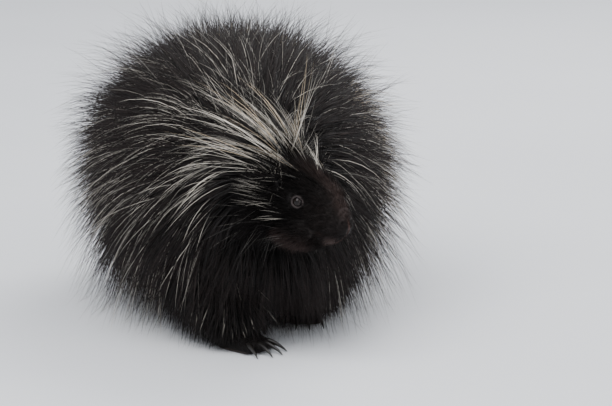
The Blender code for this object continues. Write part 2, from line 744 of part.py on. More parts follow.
def main():
    for obj in list(bpy.data.objects):
        bpy.data.objects.remove(obj)
    animal = bpy.data.collections.new("porcupine")
    bpy.context.scene.collection.children.link(animal)
    body = Form(BODY_ROWS)
    tail_form = Form(TAIL_ROWS)

    torso = make_object("torso", torso_core_mesh(body), animal)
    neck = make_object("neck", neck_core_mesh(body), animal)
    head, skull = make_head_core(animal, None)
    cutters = [make_object("cutter", skull_mesh(skull, GAP), animal)]
    cutters += [ear_body("cutter", side, animal, grow=GAP) for side in (1, -1)]
    combine(neck, cutters, "DIFFERENCE")
    eyes = []
    ears = []
    for side, word in ((1, "left"), (-1, "right")):
        eye_ball = ball(eye_centre(side), (EYE_RADIUS,) * 3, head_matrix(), 12, 7)
        eye = make_object(f"eye_{word}", eye_ball, animal)
        eyes.append(eye)
        ears.append(make_ear(f"ear_{word}", side, skull, animal))

    tail = make_object("tail", tail_form.mesh(0.0, len(TAIL_ROWS) - 1.0, 10, 14, share=CORE_SHARE), animal)
    combine(tail, [make_object("cutter", torso_core_mesh(body, GAP), animal)], "DIFFERENCE")
    legs = {}
    for name, rows in (
        ("foreleg_right", FORELEG_RIGHT),
        ("foreleg_left", FORELEG_LEFT),
        ("hindleg_right", HINDLEG_RIGHT),
        ("hindleg_left", HINDLEG_LEFT),
    ):
        legs[name] = make_leg_core(name, rows, body, animal)
    feet = []
    claws = []
    for name in FEET:
        foot, its_claws = make_foot(name, FORE_SIZES if "fore" in name else HIND_SIZES, animal)
        feet.append(foot)
        claws += its_claws

    foot_trees = [tree_of(obj) for obj in feet + claws]
    leg_trees = [tree_of(leg) for leg, _ in legs.values()]
    head_trees = [tree_of(obj) for obj in [head] + ears + eyes]
    obstacles = foot_trees + leg_trees + head_trees + [tree_of(tail), tree_of(neck)]
    locks = lock_rows(body, CORE_SHARE, TORSO_LOCKS, torso_lock_size, obstacles, animal)
    locks += lock_rows(body, CORE_SHARE, BELLY_LOCKS, belly_lock_size, obstacles, animal)
    print("torso locks", len(locks))
    combine(torso, locks)

    near = [tree_of(torso)] + leg_trees + foot_trees
    locks = lock_rows(tail_form, CORE_SHARE, TAIL_LOCKS, tail_lock_size, near, animal)
    print("tail locks", len(locks))
    combine(tail, locks)

    near = [tree_of(torso)] + head_trees + foot_trees + leg_trees
    locks = lock_rows(body, CORE_SHARE, NECK_LOCKS, neck_lock_size, near, animal)
    print("neck locks", len(locks))
    combine(neck, locks)

    near = [tree_of(obj) for obj in [torso, neck] + ears + eyes]
    locks = lock_rows(skull, 1.0, HEAD_LOCKS, head_lock_size, near, animal)
    print("head locks", len(locks))
    combine(head, locks)

    for leg, form in legs.values():
        near = [tree_of(torso), tree_of(tail), tree_of(neck)] + foot_trees
        near += [tree_of(other) for other, _ in legs.values() if other is not leg]
        locks = lock_rows(form, 0.30, LEG_LOCKS, leg_lock_size, near, animal)
        print(leg.name, "locks", len(locks))
        combine(leg, locks)

    finishes = {
        "coat": colour_material("coat", (0.020, 0.016, 0.014), 0.75),
        "face": colour_material("face", (0.030, 0.020, 0.016), 0.80),
        "sole": colour_material("sole", (0.018, 0.015, 0.014), 0.70),
        "eye": colour_material("eye", (0.012, 0.008, 0.006), 0.12),
        "claw": colour_material("claw", (0.035, 0.028, 0.024), 0.40),
    }
    groups = {
        "coat": [torso, neck, tail] + [leg for leg, _ in legs.values()],
        "face": [head] + ears,
        "sole": feet,
        "eye": eyes,
        "claw": claws,
    }
    for finish, members in groups.items():
        for obj in members:
            obj.data.materials.clear()
            obj.data.materials.append(finishes[finish])
    everything = [obj for members in groups.values() for obj in members]
    rest_on_origin(everything)
    for obj in everything:
        obj.data.calc_loop_triangles()
        print(obj.name, len(obj.data.loop_triangles))
    print("all", sum(len(obj.data.loop_triangles) for obj in everything))


main()
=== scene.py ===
import math

import bmesh
import bpy
import numpy as np
from mathutils import Matrix, Vector


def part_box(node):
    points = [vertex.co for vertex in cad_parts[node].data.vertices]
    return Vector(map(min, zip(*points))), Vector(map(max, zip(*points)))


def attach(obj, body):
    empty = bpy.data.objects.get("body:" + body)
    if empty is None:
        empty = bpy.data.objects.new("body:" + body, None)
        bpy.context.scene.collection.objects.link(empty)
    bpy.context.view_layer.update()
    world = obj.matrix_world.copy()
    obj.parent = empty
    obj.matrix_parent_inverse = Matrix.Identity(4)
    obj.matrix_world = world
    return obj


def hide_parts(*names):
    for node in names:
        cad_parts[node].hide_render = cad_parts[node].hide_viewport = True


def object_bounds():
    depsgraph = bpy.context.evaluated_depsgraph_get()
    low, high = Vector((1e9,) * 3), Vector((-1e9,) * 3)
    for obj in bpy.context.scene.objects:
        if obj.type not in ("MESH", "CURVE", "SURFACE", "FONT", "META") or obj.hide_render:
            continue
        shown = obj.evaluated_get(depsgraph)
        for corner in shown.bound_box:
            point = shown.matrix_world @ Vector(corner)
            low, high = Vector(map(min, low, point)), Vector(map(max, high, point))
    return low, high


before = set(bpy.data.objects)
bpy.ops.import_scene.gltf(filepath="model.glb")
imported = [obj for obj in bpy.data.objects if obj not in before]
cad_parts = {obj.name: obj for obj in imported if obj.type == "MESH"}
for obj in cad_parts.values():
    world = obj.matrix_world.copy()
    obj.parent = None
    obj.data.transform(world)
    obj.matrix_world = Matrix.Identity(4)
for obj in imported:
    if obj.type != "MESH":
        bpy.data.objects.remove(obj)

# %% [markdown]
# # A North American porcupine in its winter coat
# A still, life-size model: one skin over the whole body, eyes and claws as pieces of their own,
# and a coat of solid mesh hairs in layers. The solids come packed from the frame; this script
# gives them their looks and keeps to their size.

SEED = 11

cad_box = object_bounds()
rng = np.random.default_rng(SEED)
FEW = 1.0
print("box of the solids, mm:", [[round(v * 1000) for v in corner] for corner in cad_box])

# %% [markdown]
# ## Meshes and objects
# The later cells share these short functions, which turn points into meshes and objects.
# Blender's operators would do the same, but they depend on what is selected at the time.

# %% Meshes and objects


def new_object(name, data):
    obj = bpy.data.objects.new(name, data)
    bpy.context.scene.collection.objects.link(obj)
    return obj


def mesh_from(bm, name):
    mesh = bpy.data.meshes.new(name)
    bm.to_mesh(mesh)
    bm.free()
    return mesh


def keep_evaluated(obj):
    """Gives the object the mesh that its modifiers make, and removes them."""
    bpy.context.view_layer.update()
    graph = bpy.context.evaluated_depsgraph_get()
    final = bpy.data.meshes.new_from_object(obj.evaluated_get(graph))
    obj.modifiers.clear()
    obj.data = final


def paint(mesh, tone):
    """Stores a colour for each point in the attribute Tone."""
    attribute = mesh.color_attributes.new("Tone", "FLOAT_COLOR", "POINT")
    attribute.data.foreach_set("color", np.c_[tone, np.ones(len(tone))].ravel())


def join_rings(bm, rings):
    """Faces from each ring of vertices to the next."""
    for one, two in zip(rings, rings[1:]):
        for i in range(len(one)):
            j = (i + 1) % len(one)
            bm.faces.new((one[i], one[j], two[j], two[i]))


def join_spike(bm, rings, tip):
    """Faces of a spike: its rings, its tip and its flat root."""
    join_rings(bm, rings)
    last = rings[-1]
    for i in range(len(last)):
        bm.faces.new((last[i], last[(i + 1) % len(last)], tip))
    bm.faces.new(rings[0][::-1])


# %% [markdown]
# ## The body as rows of ovals
# The animal is described by rows of sections: a centre, a half width, a height above the centre
# and one below it, and how deep the coat is there. A smooth curve through the rows gives any
# section between them. The same rows make the skin, the roots of the hairs and the way they
# lie, so that coat and skin always agree. Sculpting would be freer, but could not place hairs.

# %% Sections
COAT_DEPTH = 0.080
BELLY_DEPTH = 0.022
THINNEST = 0.002
BODY_ROWS = (
    (0.030, 0.243, 0.146, 0.006, 0.006, 0.006, 0.30),
    (0.029, 0.228, 0.147, 0.048, 0.043, 0.043, 0.62),
    (0.025, 0.190, 0.153, 0.079, 0.068, 0.066, 0.86),
    (0.016, 0.130, 0.163, 0.100, 0.084, 0.082, 0.98),
    (0.006, 0.060, 0.168, 0.108, 0.088, 0.088, 1.00),
    (0.000, -0.015, 0.167, 0.103, 0.086, 0.085, 1.00),
    (-0.003, -0.085, 0.166, 0.090, 0.079, 0.078, 0.97),
    (-0.006, -0.145, 0.170, 0.073, 0.070, 0.067, 0.88),
    (-0.006, -0.196, 0.178, 0.058, 0.058, 0.056, 0.70),
    (-0.002, -0.232, 0.187, 0.047, 0.046, 0.047, 0.46),
    (0.010, -0.262, 0.186, 0.036, 0.034, 0.036, 0.34),
)
TAIL_ROWS = (
    (0.028, 0.200, 0.148, 0.046, 0.038, 0.036, 0.34),
    (0.036, 0.242, 0.130, 0.040, 0.033, 0.031, 0.34),
    (0.049, 0.290, 0.104, 0.036, 0.030, 0.028, 0.34),
    (0.063, 0.340, 0.078, 0.031, 0.026, 0.024, 0.33),
    (0.077, 0.388, 0.058, 0.024, 0.020, 0.018, 0.30),
    (0.086, 0.418, 0.050, 0.014, 0.012, 0.010, 0.26),
    (0.089, 0.428, 0.048, 0.004, 0.004, 0.004, 0.20),
)
HEAD_ROWS = (
    (0.0, 0.049, 0.000, 0.0340, 0.0280, 0.0330, 0.10),
    (0.0, 0.035, 0.000, 0.0360, 0.0320, 0.0360, 0.10),
    (0.0, 0.018, 0.000, 0.0335, 0.0340, 0.0375, 0.09),
    (0.0, 0.002, 0.000, 0.0265, 0.0340, 0.0385, 0.03),
    (0.0, -0.010, 0.000, 0.0243, 0.0325, 0.0380, 0.05),
    (0.0, -0.022, 0.001, 0.0224, 0.0285, 0.0362, 0.05),
    (0.0, -0.032, 0.002, 0.0206, 0.0245, 0.0322, 0.035),
    (0.0, -0.040, 0.003, 0.0186, 0.0203, 0.0245, 0.02),
    (0.0, -0.0455, 0.0045, 0.0156, 0.0160, 0.0168, 0.01),
    (0.0, -0.0492, 0.0065, 0.0112, 0.0108, 0.0106, 0.0),
    (0.0, -0.0512, 0.0080, 0.0048, 0.0040, 0.0050, 0.0),
)
ANKLE = 0.036
LEG_ROWS = {
    "foreleg_right": (
        (-0.048, -0.112, 0.140, 0.037, 0.042, 0.20),
        (-0.053, -0.128, 0.104, 0.033, 0.037, 0.19),
        (-0.049, -0.158, 0.072, 0.026, 0.028, 0.16),
        (-0.038, -0.188, 0.050, 0.021, 0.021, 0.11),
        (-0.034, -0.196, ANKLE, 0.019, 0.019, 0.07),
    ),
    "foreleg_left": (
        (0.046, -0.098, 0.140, 0.037, 0.042, 0.20),
        (0.056, -0.088, 0.104, 0.033, 0.037, 0.19),
        (0.064, -0.078, 0.072, 0.026, 0.028, 0.16),
        (0.068, -0.068, 0.050, 0.021, 0.021, 0.11),
        (0.069, -0.066, ANKLE, 0.019, 0.019, 0.07),
    ),
    "hindleg_right": (
        (-0.055, 0.118, 0.140, 0.040, 0.052, 0.20),
        (-0.070, 0.104, 0.104, 0.036, 0.048, 0.19),
        (-0.077, 0.112, 0.076, 0.029, 0.036, 0.16),
        (-0.077, 0.132, 0.054, 0.023, 0.026, 0.11),
        (-0.076, 0.142, ANKLE, 0.021, 0.022, 0.07),
    ),
    "hindleg_left": (
        (0.072, 0.134, 0.140, 0.040, 0.052, 0.20),
        (0.088, 0.124, 0.104, 0.036, 0.048, 0.19),
        (0.094, 0.136, 0.076, 0.029, 0.036, 0.16),
        (0.095, 0.158, 0.054, 0.023, 0.026, 0.11),
        (0.095, 0.168, ANKLE, 0.021, 0.022, 0.07),
    ),
}
FEET = {
    "forefoot_right": (-0.034, -0.196, 38.0),
    "forefoot_left": (0.069, -0.066, -14.0),
    "hindfoot_right": (-0.076, 0.142, 14.0),
    "hindfoot_left": (0.095, 0.168, -12.0),
}
FORE_SIZES = {"back": 0.020, "front": 0.034, "half": 0.0175, "toes": 4, "claw": 0.027}
HIND_SIZES = {"back": 0.018, "front": 0.058, "half": 0.0205, "toes": 5, "claw": 0.025}

EYE_RADIUS = 0.0062
EYE_PLACE = Vector((0.0278, 0.000, 0.0095))
EYE_FACING = Vector((1.0, -0.30, 0.12)).normalized()
EYE_CENTRE = EYE_PLACE - EYE_FACING * 0.0042
head_in_row = (
    Matrix.Translation((0.0325, -0.290, 0.1742))
    @ Matrix.Rotation(math.radians(45), 4, "Z")
    @ Matrix.Rotation(math.radians(23), 4, "X")
)
low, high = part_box("eye_left")
shift = (Vector(low) + Vector(high)) / 2 - head_in_row @ EYE_CENTRE
shift.z = 0.0
PLACE = Matrix.Translation(shift)
HEAD = PLACE @ head_in_row
print("the row's origin lies at", [round(-v * 1000, 1) for v in shift], "mm")


def unit(v):
    return v / np.maximum(np.linalg.norm(v, axis=-1, keepdims=True), 1e-12)


def smooth(low, high, value):
    """0 below low, 1 above high, and an even slope between."""
    t = np.clip((value - low) / (high - low), 0, 1)
    return t * t * (3 - 2 * t)


class Form:
    """A smooth body along a row of sections. All its methods take arrays."""

    def __init__(self, rows, matrix=PLACE, square=2.0, patch=(0, 0, 1, 1)):
        self.rows = np.array(rows, float)
        self.matrix = np.array(matrix)
        self.power = 2.0 / square
        self.patch = patch

    def row(self, s):
        last = len(self.rows) - 1
        i = np.clip(np.floor(s).astype(int), 0, last - 1)
        t = (s - i)[:, None]
        p1, p2 = self.rows[i], self.rows[i + 1]
        p0 = np.where(i[:, None] > 0, self.rows[np.maximum(i - 1, 0)], 2 * p1 - p2)
        p3 = np.where(i[:, None] + 2 <= last, self.rows[np.minimum(i + 2, last)], 2 * p2 - p1)
        cubic = 3 * (p1 - p2) + p3 - p0
        found = p1 + 0.5 * t * (p2 - p0 + t * (2 * p0 - 5 * p1 + 4 * p2 - p3 + t * cubic))
        found[:, 3:6] = np.maximum(found[:, 3:6], THINNEST)
        return found

    def point(self, s, angle, share=0.0):
        """Surface points: angle 0 is the left and 90 degrees the top, share is that of the coat."""
        row = self.row(s)
        ahead = unit(self.row(s + 0.02)[:, :3] - self.row(s - 0.02)[:, :3])
        steep = np.abs(ahead[:, 2:]) >= 0.8
        helper = np.where(steep, [[0.0, -1.0, 0.0]], [[0.0, 0.0, 1.0]])
        left = unit(np.cross(helper, ahead))
        up = np.cross(ahead, left)
        across = np.sign(np.cos(angle)) * np.abs(np.cos(angle)) ** self.power
        rise = np.sign(np.sin(angle)) * np.abs(np.sin(angle)) ** self.power
        tall = np.where(rise > 0, row[:, 4], row[:, 5])
        away = unit(np.stack([across / row[:, 3], rise / tall], 1))
        depth = self.depth(s, angle) * share
        side = across * row[:, 3] + away[:, 0] * depth
        over = rise * tall + away[:, 1] * depth
        place = row[:, :3] + left * side[:, None] + up * over[:, None]
        return place @ self.matrix[:3, :3].T + self.matrix[:3, 3]

    def depth(self, s, angle):
        under = np.clip((-np.sin(angle) - 0.25) / 0.6, 0, 1)
        return self.row(s)[:, 6] * (COAT_DEPTH * (1 - under) + BELLY_DEPTH * under)

    def surface(self, s, angle):
        """The points there, the way out of the surface, and the way back along it."""
        small = 0.01
        place = self.point(s, angle)
        along = self.point(s + small, angle) - self.point(s - small, angle)
        around = self.point(s, angle + small) - self.point(s, angle - small)
        out = unit(np.cross(around, along))
        middle = self.row(s)[:, :3] @ self.matrix[:3, :3].T + self.matrix[:3, 3]
        out = np.where(np.sum(out * (place - middle), 1, keepdims=True) < 0, -out, out)
        return place, out, -unit(along)

    def place_on_map(self, s, angle):
        """Where these roots lie on the flat map of the skin."""
        u0, v0, u1, v1 = self.patch
        turn = np.mod(angle / math.tau + 0.25, 1.0)
        along = np.clip(s / (len(self.rows) - 1), 0, 1)
        return np.stack([u0 + (u1 - u0) * turn, v0 + (v1 - v0) * along], 1)

    def add_to(self, bm, first, last, rings, sides):
        """Adds the form to a mesh, closed at both ends."""
        loops = []
        turns = math.tau * np.arange(sides) / sides
        for s in np.linspace(first, last, rings + 1):
            loops.append([bm.verts.new(p) for p in self.point(np.full(sides, s), turns)])
        join_rings(bm, loops)
        bm.faces.new(loops[0][::-1])
        bm.faces.new(loops[-1])


body = Form(BODY_ROWS, patch=(0.00, 0.00, 0.60, 0.60))
tail = Form(TAIL_ROWS, patch=(0.62, 0.00, 0.98, 0.30))
legs = {}
for k, (name, rows) in enumerate(LEG_ROWS.items()):
    full = [(x, y, z, wide, deep, deep, share) for x, y, z, wide, deep, share in rows]
    full.append((rows[-1][0], rows[-1][1], ANKLE - 0.016) + full[-1][3:])
    legs[name] = Form(full, patch=(0.62 + 0.09 * k, 0.32, 0.70 + 0.09 * k, 0.60))
print("forms:", 2 + len(legs))

# %% [markdown]
# ## Materials
# Hair and skin read one colour attribute, Tone, which is worked out from the same rule for
# both, so the markings agree. A fine noise in the object's own space varies it. Hair has a soft
# gloss, the eye is wet, and the claws are satin horn. Images would not survive on hairs this thin.

# %% Materials


def new_material(name, roughness):
    material = bpy.data.materials.new(name)
    material.use_nodes = True
    tree = material.node_tree
    shader = tree.nodes["Principled BSDF"]
    shader.inputs["Roughness"].default_value = roughness
    return material, tree, shader


def link(tree, one, out, two, into):
    tree.links.new(one.outputs[out], two.inputs[into])


def noise_node(tree, scale, detail=3.0):
    coords = tree.nodes.new("ShaderNodeTexCoord")
    noise = tree.nodes.new("ShaderNodeTexNoise")
    noise.inputs["Scale"].default_value = scale
    noise.inputs["Detail"].default_value = detail
    link(tree, coords, "Object", noise, "Vector")
    return noise


def tone_node(tree):
    """Reads the colour attribute Tone."""
    tone = tree.nodes.new("ShaderNodeAttribute")
    tone.attribute_name = "Tone"
    return tone


def add_bump(tree, source, shader, strength, distance):
    bump = tree.nodes.new("ShaderNodeBump")
    bump.inputs["Strength"].default_value = strength
    bump.inputs["Distance"].default_value = distance
    link(tree, source, "Fac", bump, "Height")
    link(tree, bump, "Normal", shader, "Normal")


def add_ramp(tree, source, shader, low, high):
    """Colours the shader from low to high by the source's noise."""
    ramp = tree.nodes.new("ShaderNodeValToRGB")
    for element, colour in zip(ramp.color_ramp.elements, (low, high)):
        element.color = (*colour, 1.0)
    link(tree, source, "Fac", ramp, "Fac")
    link(tree, ramp, "Color", shader, "Base Color")


def toned_material(name, roughness, specular, vary, scale, bump=0.0, bump_scale=900.0):
    """Colour from Tone, made lighter and darker by noise, with an optional bump."""
    material, tree, shader = new_material(name, roughness)
    shader.inputs["Specular IOR Level"].default_value = specular
    spread = tree.nodes.new("ShaderNodeMapRange")
    for into, value in (("From Min", 0.3), ("From Max", 0.7),
                        ("To Min", 1.0 - vary), ("To Max", 1.0 + vary)):
        spread.inputs[into].default_value = value
    link(tree, noise_node(tree, scale), "Fac", spread, "Value")
    scaled = tree.nodes.new("ShaderNodeVectorMath")
    scaled.operation = "SCALE"
    link(tree, tone_node(tree), "Color", scaled, 0)
    link(tree, spread, "Result", scaled, "Scale")
    link(tree, scaled, "Vector", shader, "Base Color")
    if bump:
        add_bump(tree, noise_node(tree, bump_scale, 2.0), shader, bump, 0.0006)
    return material


dark_hair = toned_material("dark_hair", 0.60, 0.16, 0.30, 60.0)
pale_hair = toned_material("pale_hair", 0.42, 0.50, 0.12, 80.0)
face_hair = toned_material("face_hair", 0.70, 0.07, 0.25, 120.0)
skin_finish = toned_material("skin", 0.55, 0.10, 0.22, 160.0, bump=0.4)
print("materials:", len(bpy.data.materials))

# %% [markdown]
# ## The skin
# The torso, tail and legs are joined lofts, remeshed into one surface. The head and feet need
# finer detail than the torso, so they are remeshed at a finer step and then joined to it inside
# the ruff and the leg fur. One mesh as fine as the head all over would be far too heavy.

# %% Skin of the body
BODY_STEP = 0.0045


def add_ball(bm, place, sizes, turn=None, segments=20, rings=14):
    found = bmesh.ops.create_uvsphere(bm, u_segments=segments, v_segments=rings, radius=1.0)
    turned = Matrix.Translation(place) @ (turn or Matrix.Identity(4))
    sized = turned @ Matrix.Diagonal((*sizes, 1.0))
    bmesh.ops.transform(bm, matrix=sized, verts=found["verts"])


def remeshed(name, bm, step, rounds):
    """One closed surface round everything in bm, as a new object."""
    bmesh.ops.recalc_face_normals(bm, faces=bm.faces)
    obj = new_object(name, mesh_from(bm, name))
    remesh = obj.modifiers.new("remesh", "REMESH")
    remesh.mode = "VOXEL"
    remesh.voxel_size = step
    soften = obj.modifiers.new("soften", "SMOOTH")
    soften.factor = 0.5
    soften.iterations = rounds
    keep_evaluated(obj)
    return obj


def points_of(mesh, what="co"):
    source = mesh.vertices if what == "co" else mesh.vertex_normals
    found = np.empty(len(mesh.vertices) * 3)
    source.foreach_get("co" if what == "co" else "vector", found)
    return found.reshape(-1, 3)


def set_points(mesh, points):
    mesh.vertices.foreach_set("co", np.ascontiguousarray(points, float).ravel())
    mesh.update()


bm = bmesh.new()
body.add_to(bm, 0.0, 9.95, 40, 48)
tail.add_to(bm, 0.0, 6.0, 24, 32)
for form in legs.values():
    form.add_to(bm, 0.0, 5.0, 20, 28)
body_skin = remeshed("body_skin", bm, BODY_STEP, 4)
print("body skin:", len(body_skin.data.polygons), "faces")

# %% [markdown]
# ## The head
# The muzzle, brows, lips, nostrils, lids and ears are a few millimetres deep. They could be
# sculpted by hand. Here they are balls blended by a fine remesh, with the mouth, the cleft of
# the lip and the nostrils pushed in along the normals, so each keeps its own place and size.

# %% Skin of the head


def to_local(points, matrix):
    inverse = np.array(matrix.inverted())
    return points @ inverse[:3, :3].T + inverse[:3, 3]


def from_local(points, matrix):
    found = np.array(matrix)
    return points @ found[:3, :3].T + found[:3, 3]


def eye_frame(side):
    """A frame at the eye's centre whose z looks out through the pupil."""
    facing = Vector((EYE_FACING.x * side, EYE_FACING.y, EYE_FACING.z))
    centre = Vector((EYE_CENTRE.x * side, EYE_CENTRE.y, EYE_CENTRE.z))
    return Matrix.Translation(centre) @ facing.to_track_quat("Z", "Y").to_matrix().to_4x4()


HEAD_STEP = 0.0010
MOUTH = np.array([
    (0.0200, -0.0215, -0.0145), (0.0192, -0.0275, -0.0130), (0.0174, -0.0335, -0.0116),
    (0.0142, -0.0385, -0.0104), (0.0092, -0.0430, -0.0096), (0.0, -0.0456, -0.0092),
])
NOSTRIL = (0.0068, -0.0478, 0.0078)
NOSTRIL_SIZES = (0.0026, 0.0050, 0.0019)
NOSTRIL_TURN = np.array([[0.80, -0.60, 0.0], [0.60, 0.80, 0.0], [0.0, 0.0, 1.0]])
MIDDLE_BALLS = (
    ((0, -0.0295, -0.0230), (0.0108, 0.0112, 0.0082)),  # chin
    ((0, -0.0445, 0.0080), (0.0090, 0.0052, 0.0060)),  # end of the nose
)
SIDE_BALLS = (
    ((0.0100, -0.0060, 0.0205), (0.0145, 0.0260, 0.0135)),  # brow
    ((0.0072, -0.0405, -0.0030), (0.0098, 0.0078, 0.0090)),  # upper lip
    ((0.0165, -0.0040, -0.0190), (0.0125, 0.0230, 0.0165)),  # cheek
    ((0.0066, -0.0465, 0.0078), (0.0038, 0.0036, 0.0038)),  # wing of the nostril
)
EAR_PLACE = (0.0375, 0.031, 0.015)
EAR_SIZES = (0.0044, 0.0098, 0.0146)
LID_BALLS = 28


def far_from_line(points, line):
    """The distance of each point from a line of straight stretches."""
    nearest = np.full(len(points), 1.0)
    for a, b in zip(line, line[1:]):
        t = np.clip((points - a) @ (b - a) / ((b - a) @ (b - a)), 0, 1)
        nearest = np.minimum(nearest, np.linalg.norm(points - a - t[:, None] * (b - a), axis=1))
    return nearest


def shape_head(obj):
    """Moulds the mouth, lip cleft, nostrils and eye sockets into the remeshed head."""
    mesh = obj.data
    points = points_of(mesh)
    out = points_of(mesh, "normal")
    both = np.stack([np.abs(points[:, 0]), points[:, 1], points[:, 2]], 1)
    groove = np.exp(-(far_from_line(both, MOUTH) / 0.0011) ** 2)
    points = points - out * (0.0019 * groove)[:, None]
    away = np.abs(both[:, 2] + 0.0050) - 0.0035
    cleft = np.exp(-((both[:, 0] / 0.0008) ** 2)) * smooth(0.0035, 0.0015, away)
    cleft = cleft * (both[:, 1] < -0.036)
    points = points - out * (0.0013 * cleft)[:, None]
    x, y, z = ((both - NOSTRIL) @ NOSTRIL_TURN / NOSTRIL_SIZES).T
    hole = np.exp(-(x ** 2 + y ** 2 + z ** 2) ** 1.5)
    points = points - out * (0.0036 * hole)[:, None]
    for side in (1, -1):
        frame_here = eye_frame(side)
        local = to_local(points, frame_here)
        reach = np.hypot(local[:, 0] / 1.03, local[:, 1] / 0.94)
        inside = (reach < 0.0050) & (local[:, 2] > 0)
        local[inside, 2] = np.minimum(local[inside, 2], 0.0022)
        points = from_local(local, frame_here)
    set_points(mesh, points)


bm = bmesh.new()
skull = Form(HEAD_ROWS, Matrix.Identity(4), square=2.15)
skull.add_to(bm, 0.0, 10.0, 60, 56)
for place, sizes in MIDDLE_BALLS:
    add_ball(bm, place, sizes)
for side in (1, -1):
    for place, sizes in SIDE_BALLS:
        add_ball(bm, (side * place[0], place[1], place[2]), sizes)
    mound = eye_frame(side)
    turned = mound.to_3x3().to_4x4()
    add_ball(bm, mound @ Vector((0, 0, -0.0010)), (0.0112, 0.0105, 0.0058), turned)
    for k in range(LID_BALLS):
        turn = math.tau * k / LID_BALLS
        heavy = 0.00088 + 0.00022 * max(0.0, math.sin(turn))
        away = Vector((math.cos(turn) * 0.00640, math.sin(turn) * 0.0060, 0.0040))
        add_ball(bm, mound @ away, (heavy,) * 3, segments=8, rings=6)
    tilt = Matrix.Rotation(math.radians(side * 24), 4, "Y")
    add_ball(bm, (side * EAR_PLACE[0], EAR_PLACE[1], EAR_PLACE[2]), EAR_SIZES, tilt)
head_skin = remeshed("head_skin", bm, HEAD_STEP, 3)
shape_head(head_skin)
head_skin.data.transform(HEAD)
print("head skin:", len(head_skin.data.polygons), "faces")

# %% [markdown]
# ## Feet
# Each foot is a flat pad with a toe for each claw, remeshed fine enough to keep the toes apart
# and then pressed flat on the floor. Toes could be cut out of the pad, but joined balls are
# rounder and need no care at their edges.

# %% Feet
FOOT_STEP = 0.0015


def foot_frame(name):
    x, y, turn = FEET[name]
    return PLACE @ Matrix.Translation((x, y, 0.0)) @ Matrix.Rotation(math.radians(turn), 4, "Z")


def sizes_of(name):
    return FORE_SIZES if "fore" in name else HIND_SIZES


def toes_of(name):
    """Each toe's middle, turn and heading in the foot's frame, and its claw's length."""
    sizes = sizes_of(name)
    found = []
    for k in range(sizes["toes"]):
        part = 2 * k / (sizes["toes"] - 1) - 1
        spread = math.radians(20 * part)
        ahead = sizes["front"] + 0.003 - 0.007 * part * part
        middle = Vector((part * sizes["half"] * 0.80, -ahead, 0.0072))
        heading = Matrix.Rotation(spread, 3, "Z") @ Vector((0.0, -1.0, 0.0))
        found.append((middle, spread, heading, sizes["claw"]))
    return found


def make_foot(name):
    sizes = sizes_of(name)
    back, front, half = sizes["back"], sizes["front"], sizes["half"]
    here = foot_frame(name)
    rows = (
        (0.0, back, 0.010, half * 0.45, 0.008, 0.012, 0.0),
        (0.0, back * 0.75, 0.012, half * 0.80, 0.013, 0.016, 0.0),
        (0.0, 0.0, 0.012, half * 0.95, 0.017, 0.018, 0.0),
        (0.0, -front * 0.45, 0.010, half, 0.013, 0.016, 0.0),
        (0.0, -front * 0.85, 0.008, half * 1.02, 0.009, 0.014, 0.0),
        (0.0, -front, 0.007, half * 0.86, 0.006, 0.011, 0.0),
    )
    bm = bmesh.new()
    Form(rows, here, square=2.5).add_to(bm, 0.0, 5.0, 24, 28)
    radius = 0.0195 if "fore" in name else 0.0215
    add_ball(bm, here @ Vector((0, 0, 0.030)), (radius, radius, 0.024))
    for middle, spread, _, _ in toes_of(name):
        turn = here.to_3x3().to_4x4() @ Matrix.Rotation(spread, 4, "Z")
        add_ball(bm, here @ middle, (0.0050, 0.0108, 0.0070), turn)
        knuckle = Vector((middle.x * 0.86, middle.y + 0.012, middle.z + 0.0045))
        add_ball(bm, here @ knuckle, (0.0048, 0.0100, 0.0058), turn)
    foot = remeshed(name + "_skin", bm, FOOT_STEP, 2)
    points = points_of(foot.data)
    points[:, 2] = np.maximum(points[:, 2], 0.0)
    set_points(foot.data, points)
    return foot


foot_skins = [make_foot(name) for name in FEET]
print("feet:", sum(len(foot.data.polygons) for foot in foot_skins), "faces")

# %% [markdown]
# ## Claws
# Each claw is horn, long, and curved down for climbing. It could be a cone bent by a modifier.
# It is swept ring by ring along its arc instead, so its root is thick and its sides are flat.
# The claws stand where the solids' claws stand, with rounder sections.

# %% Claws
horn, tree, shader = new_material("horn", 0.36)
streaks = noise_node(tree, 420.0, 4.0)
add_ramp(tree, streaks, shader, (0.004, 0.0035, 0.003), (0.014, 0.011, 0.0095))
add_bump(tree, streaks, shader, 0.3, 0.0003)
CLAW_RADIUS = 0.0031
CLAW_LOWEST = 0.0003


def make_claw(node, base, heading, length, fall=30.0, rings=14, sides=12):
    """A horn along a falling arc, thickest at its root and flattened from side to side."""
    bm = bmesh.new()
    side = Vector((0.0, 0.0, 1.0)).cross(heading).normalized()
    here = base.copy()
    loops = []
    for k in range(rings):
        part = k / rings
        bend = math.radians(8 + fall * part * 1.2)
        ahead = heading * math.cos(bend) - Vector((0.0, 0.0, math.sin(bend)))
        up = ahead.cross(side).normalized()
        radius = CLAW_RADIUS * (1 - part) ** 0.70 + 0.0001
        loop = []
        for i in range(sides):
            turn = math.tau * i / sides
            corner = side * math.cos(turn) * 0.78 + up * math.sin(turn)
            loop.append(bm.verts.new(here + corner * radius))
        loops.append(loop)
        here = here + ahead * length / rings
    join_spike(bm, loops, bm.verts.new(here))
    bmesh.ops.recalc_face_normals(bm, faces=bm.faces)
    for vertex in bm.verts:
        vertex.co.z = max(vertex.co.z, CLAW_LOWEST)
    mesh = mesh_from(bm, node + "_horn")
    mesh.shade_smooth()
    mesh.materials.append(horn)
    claw = new_object(node + "_horn", mesh)
    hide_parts(node)
    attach(claw, "root")


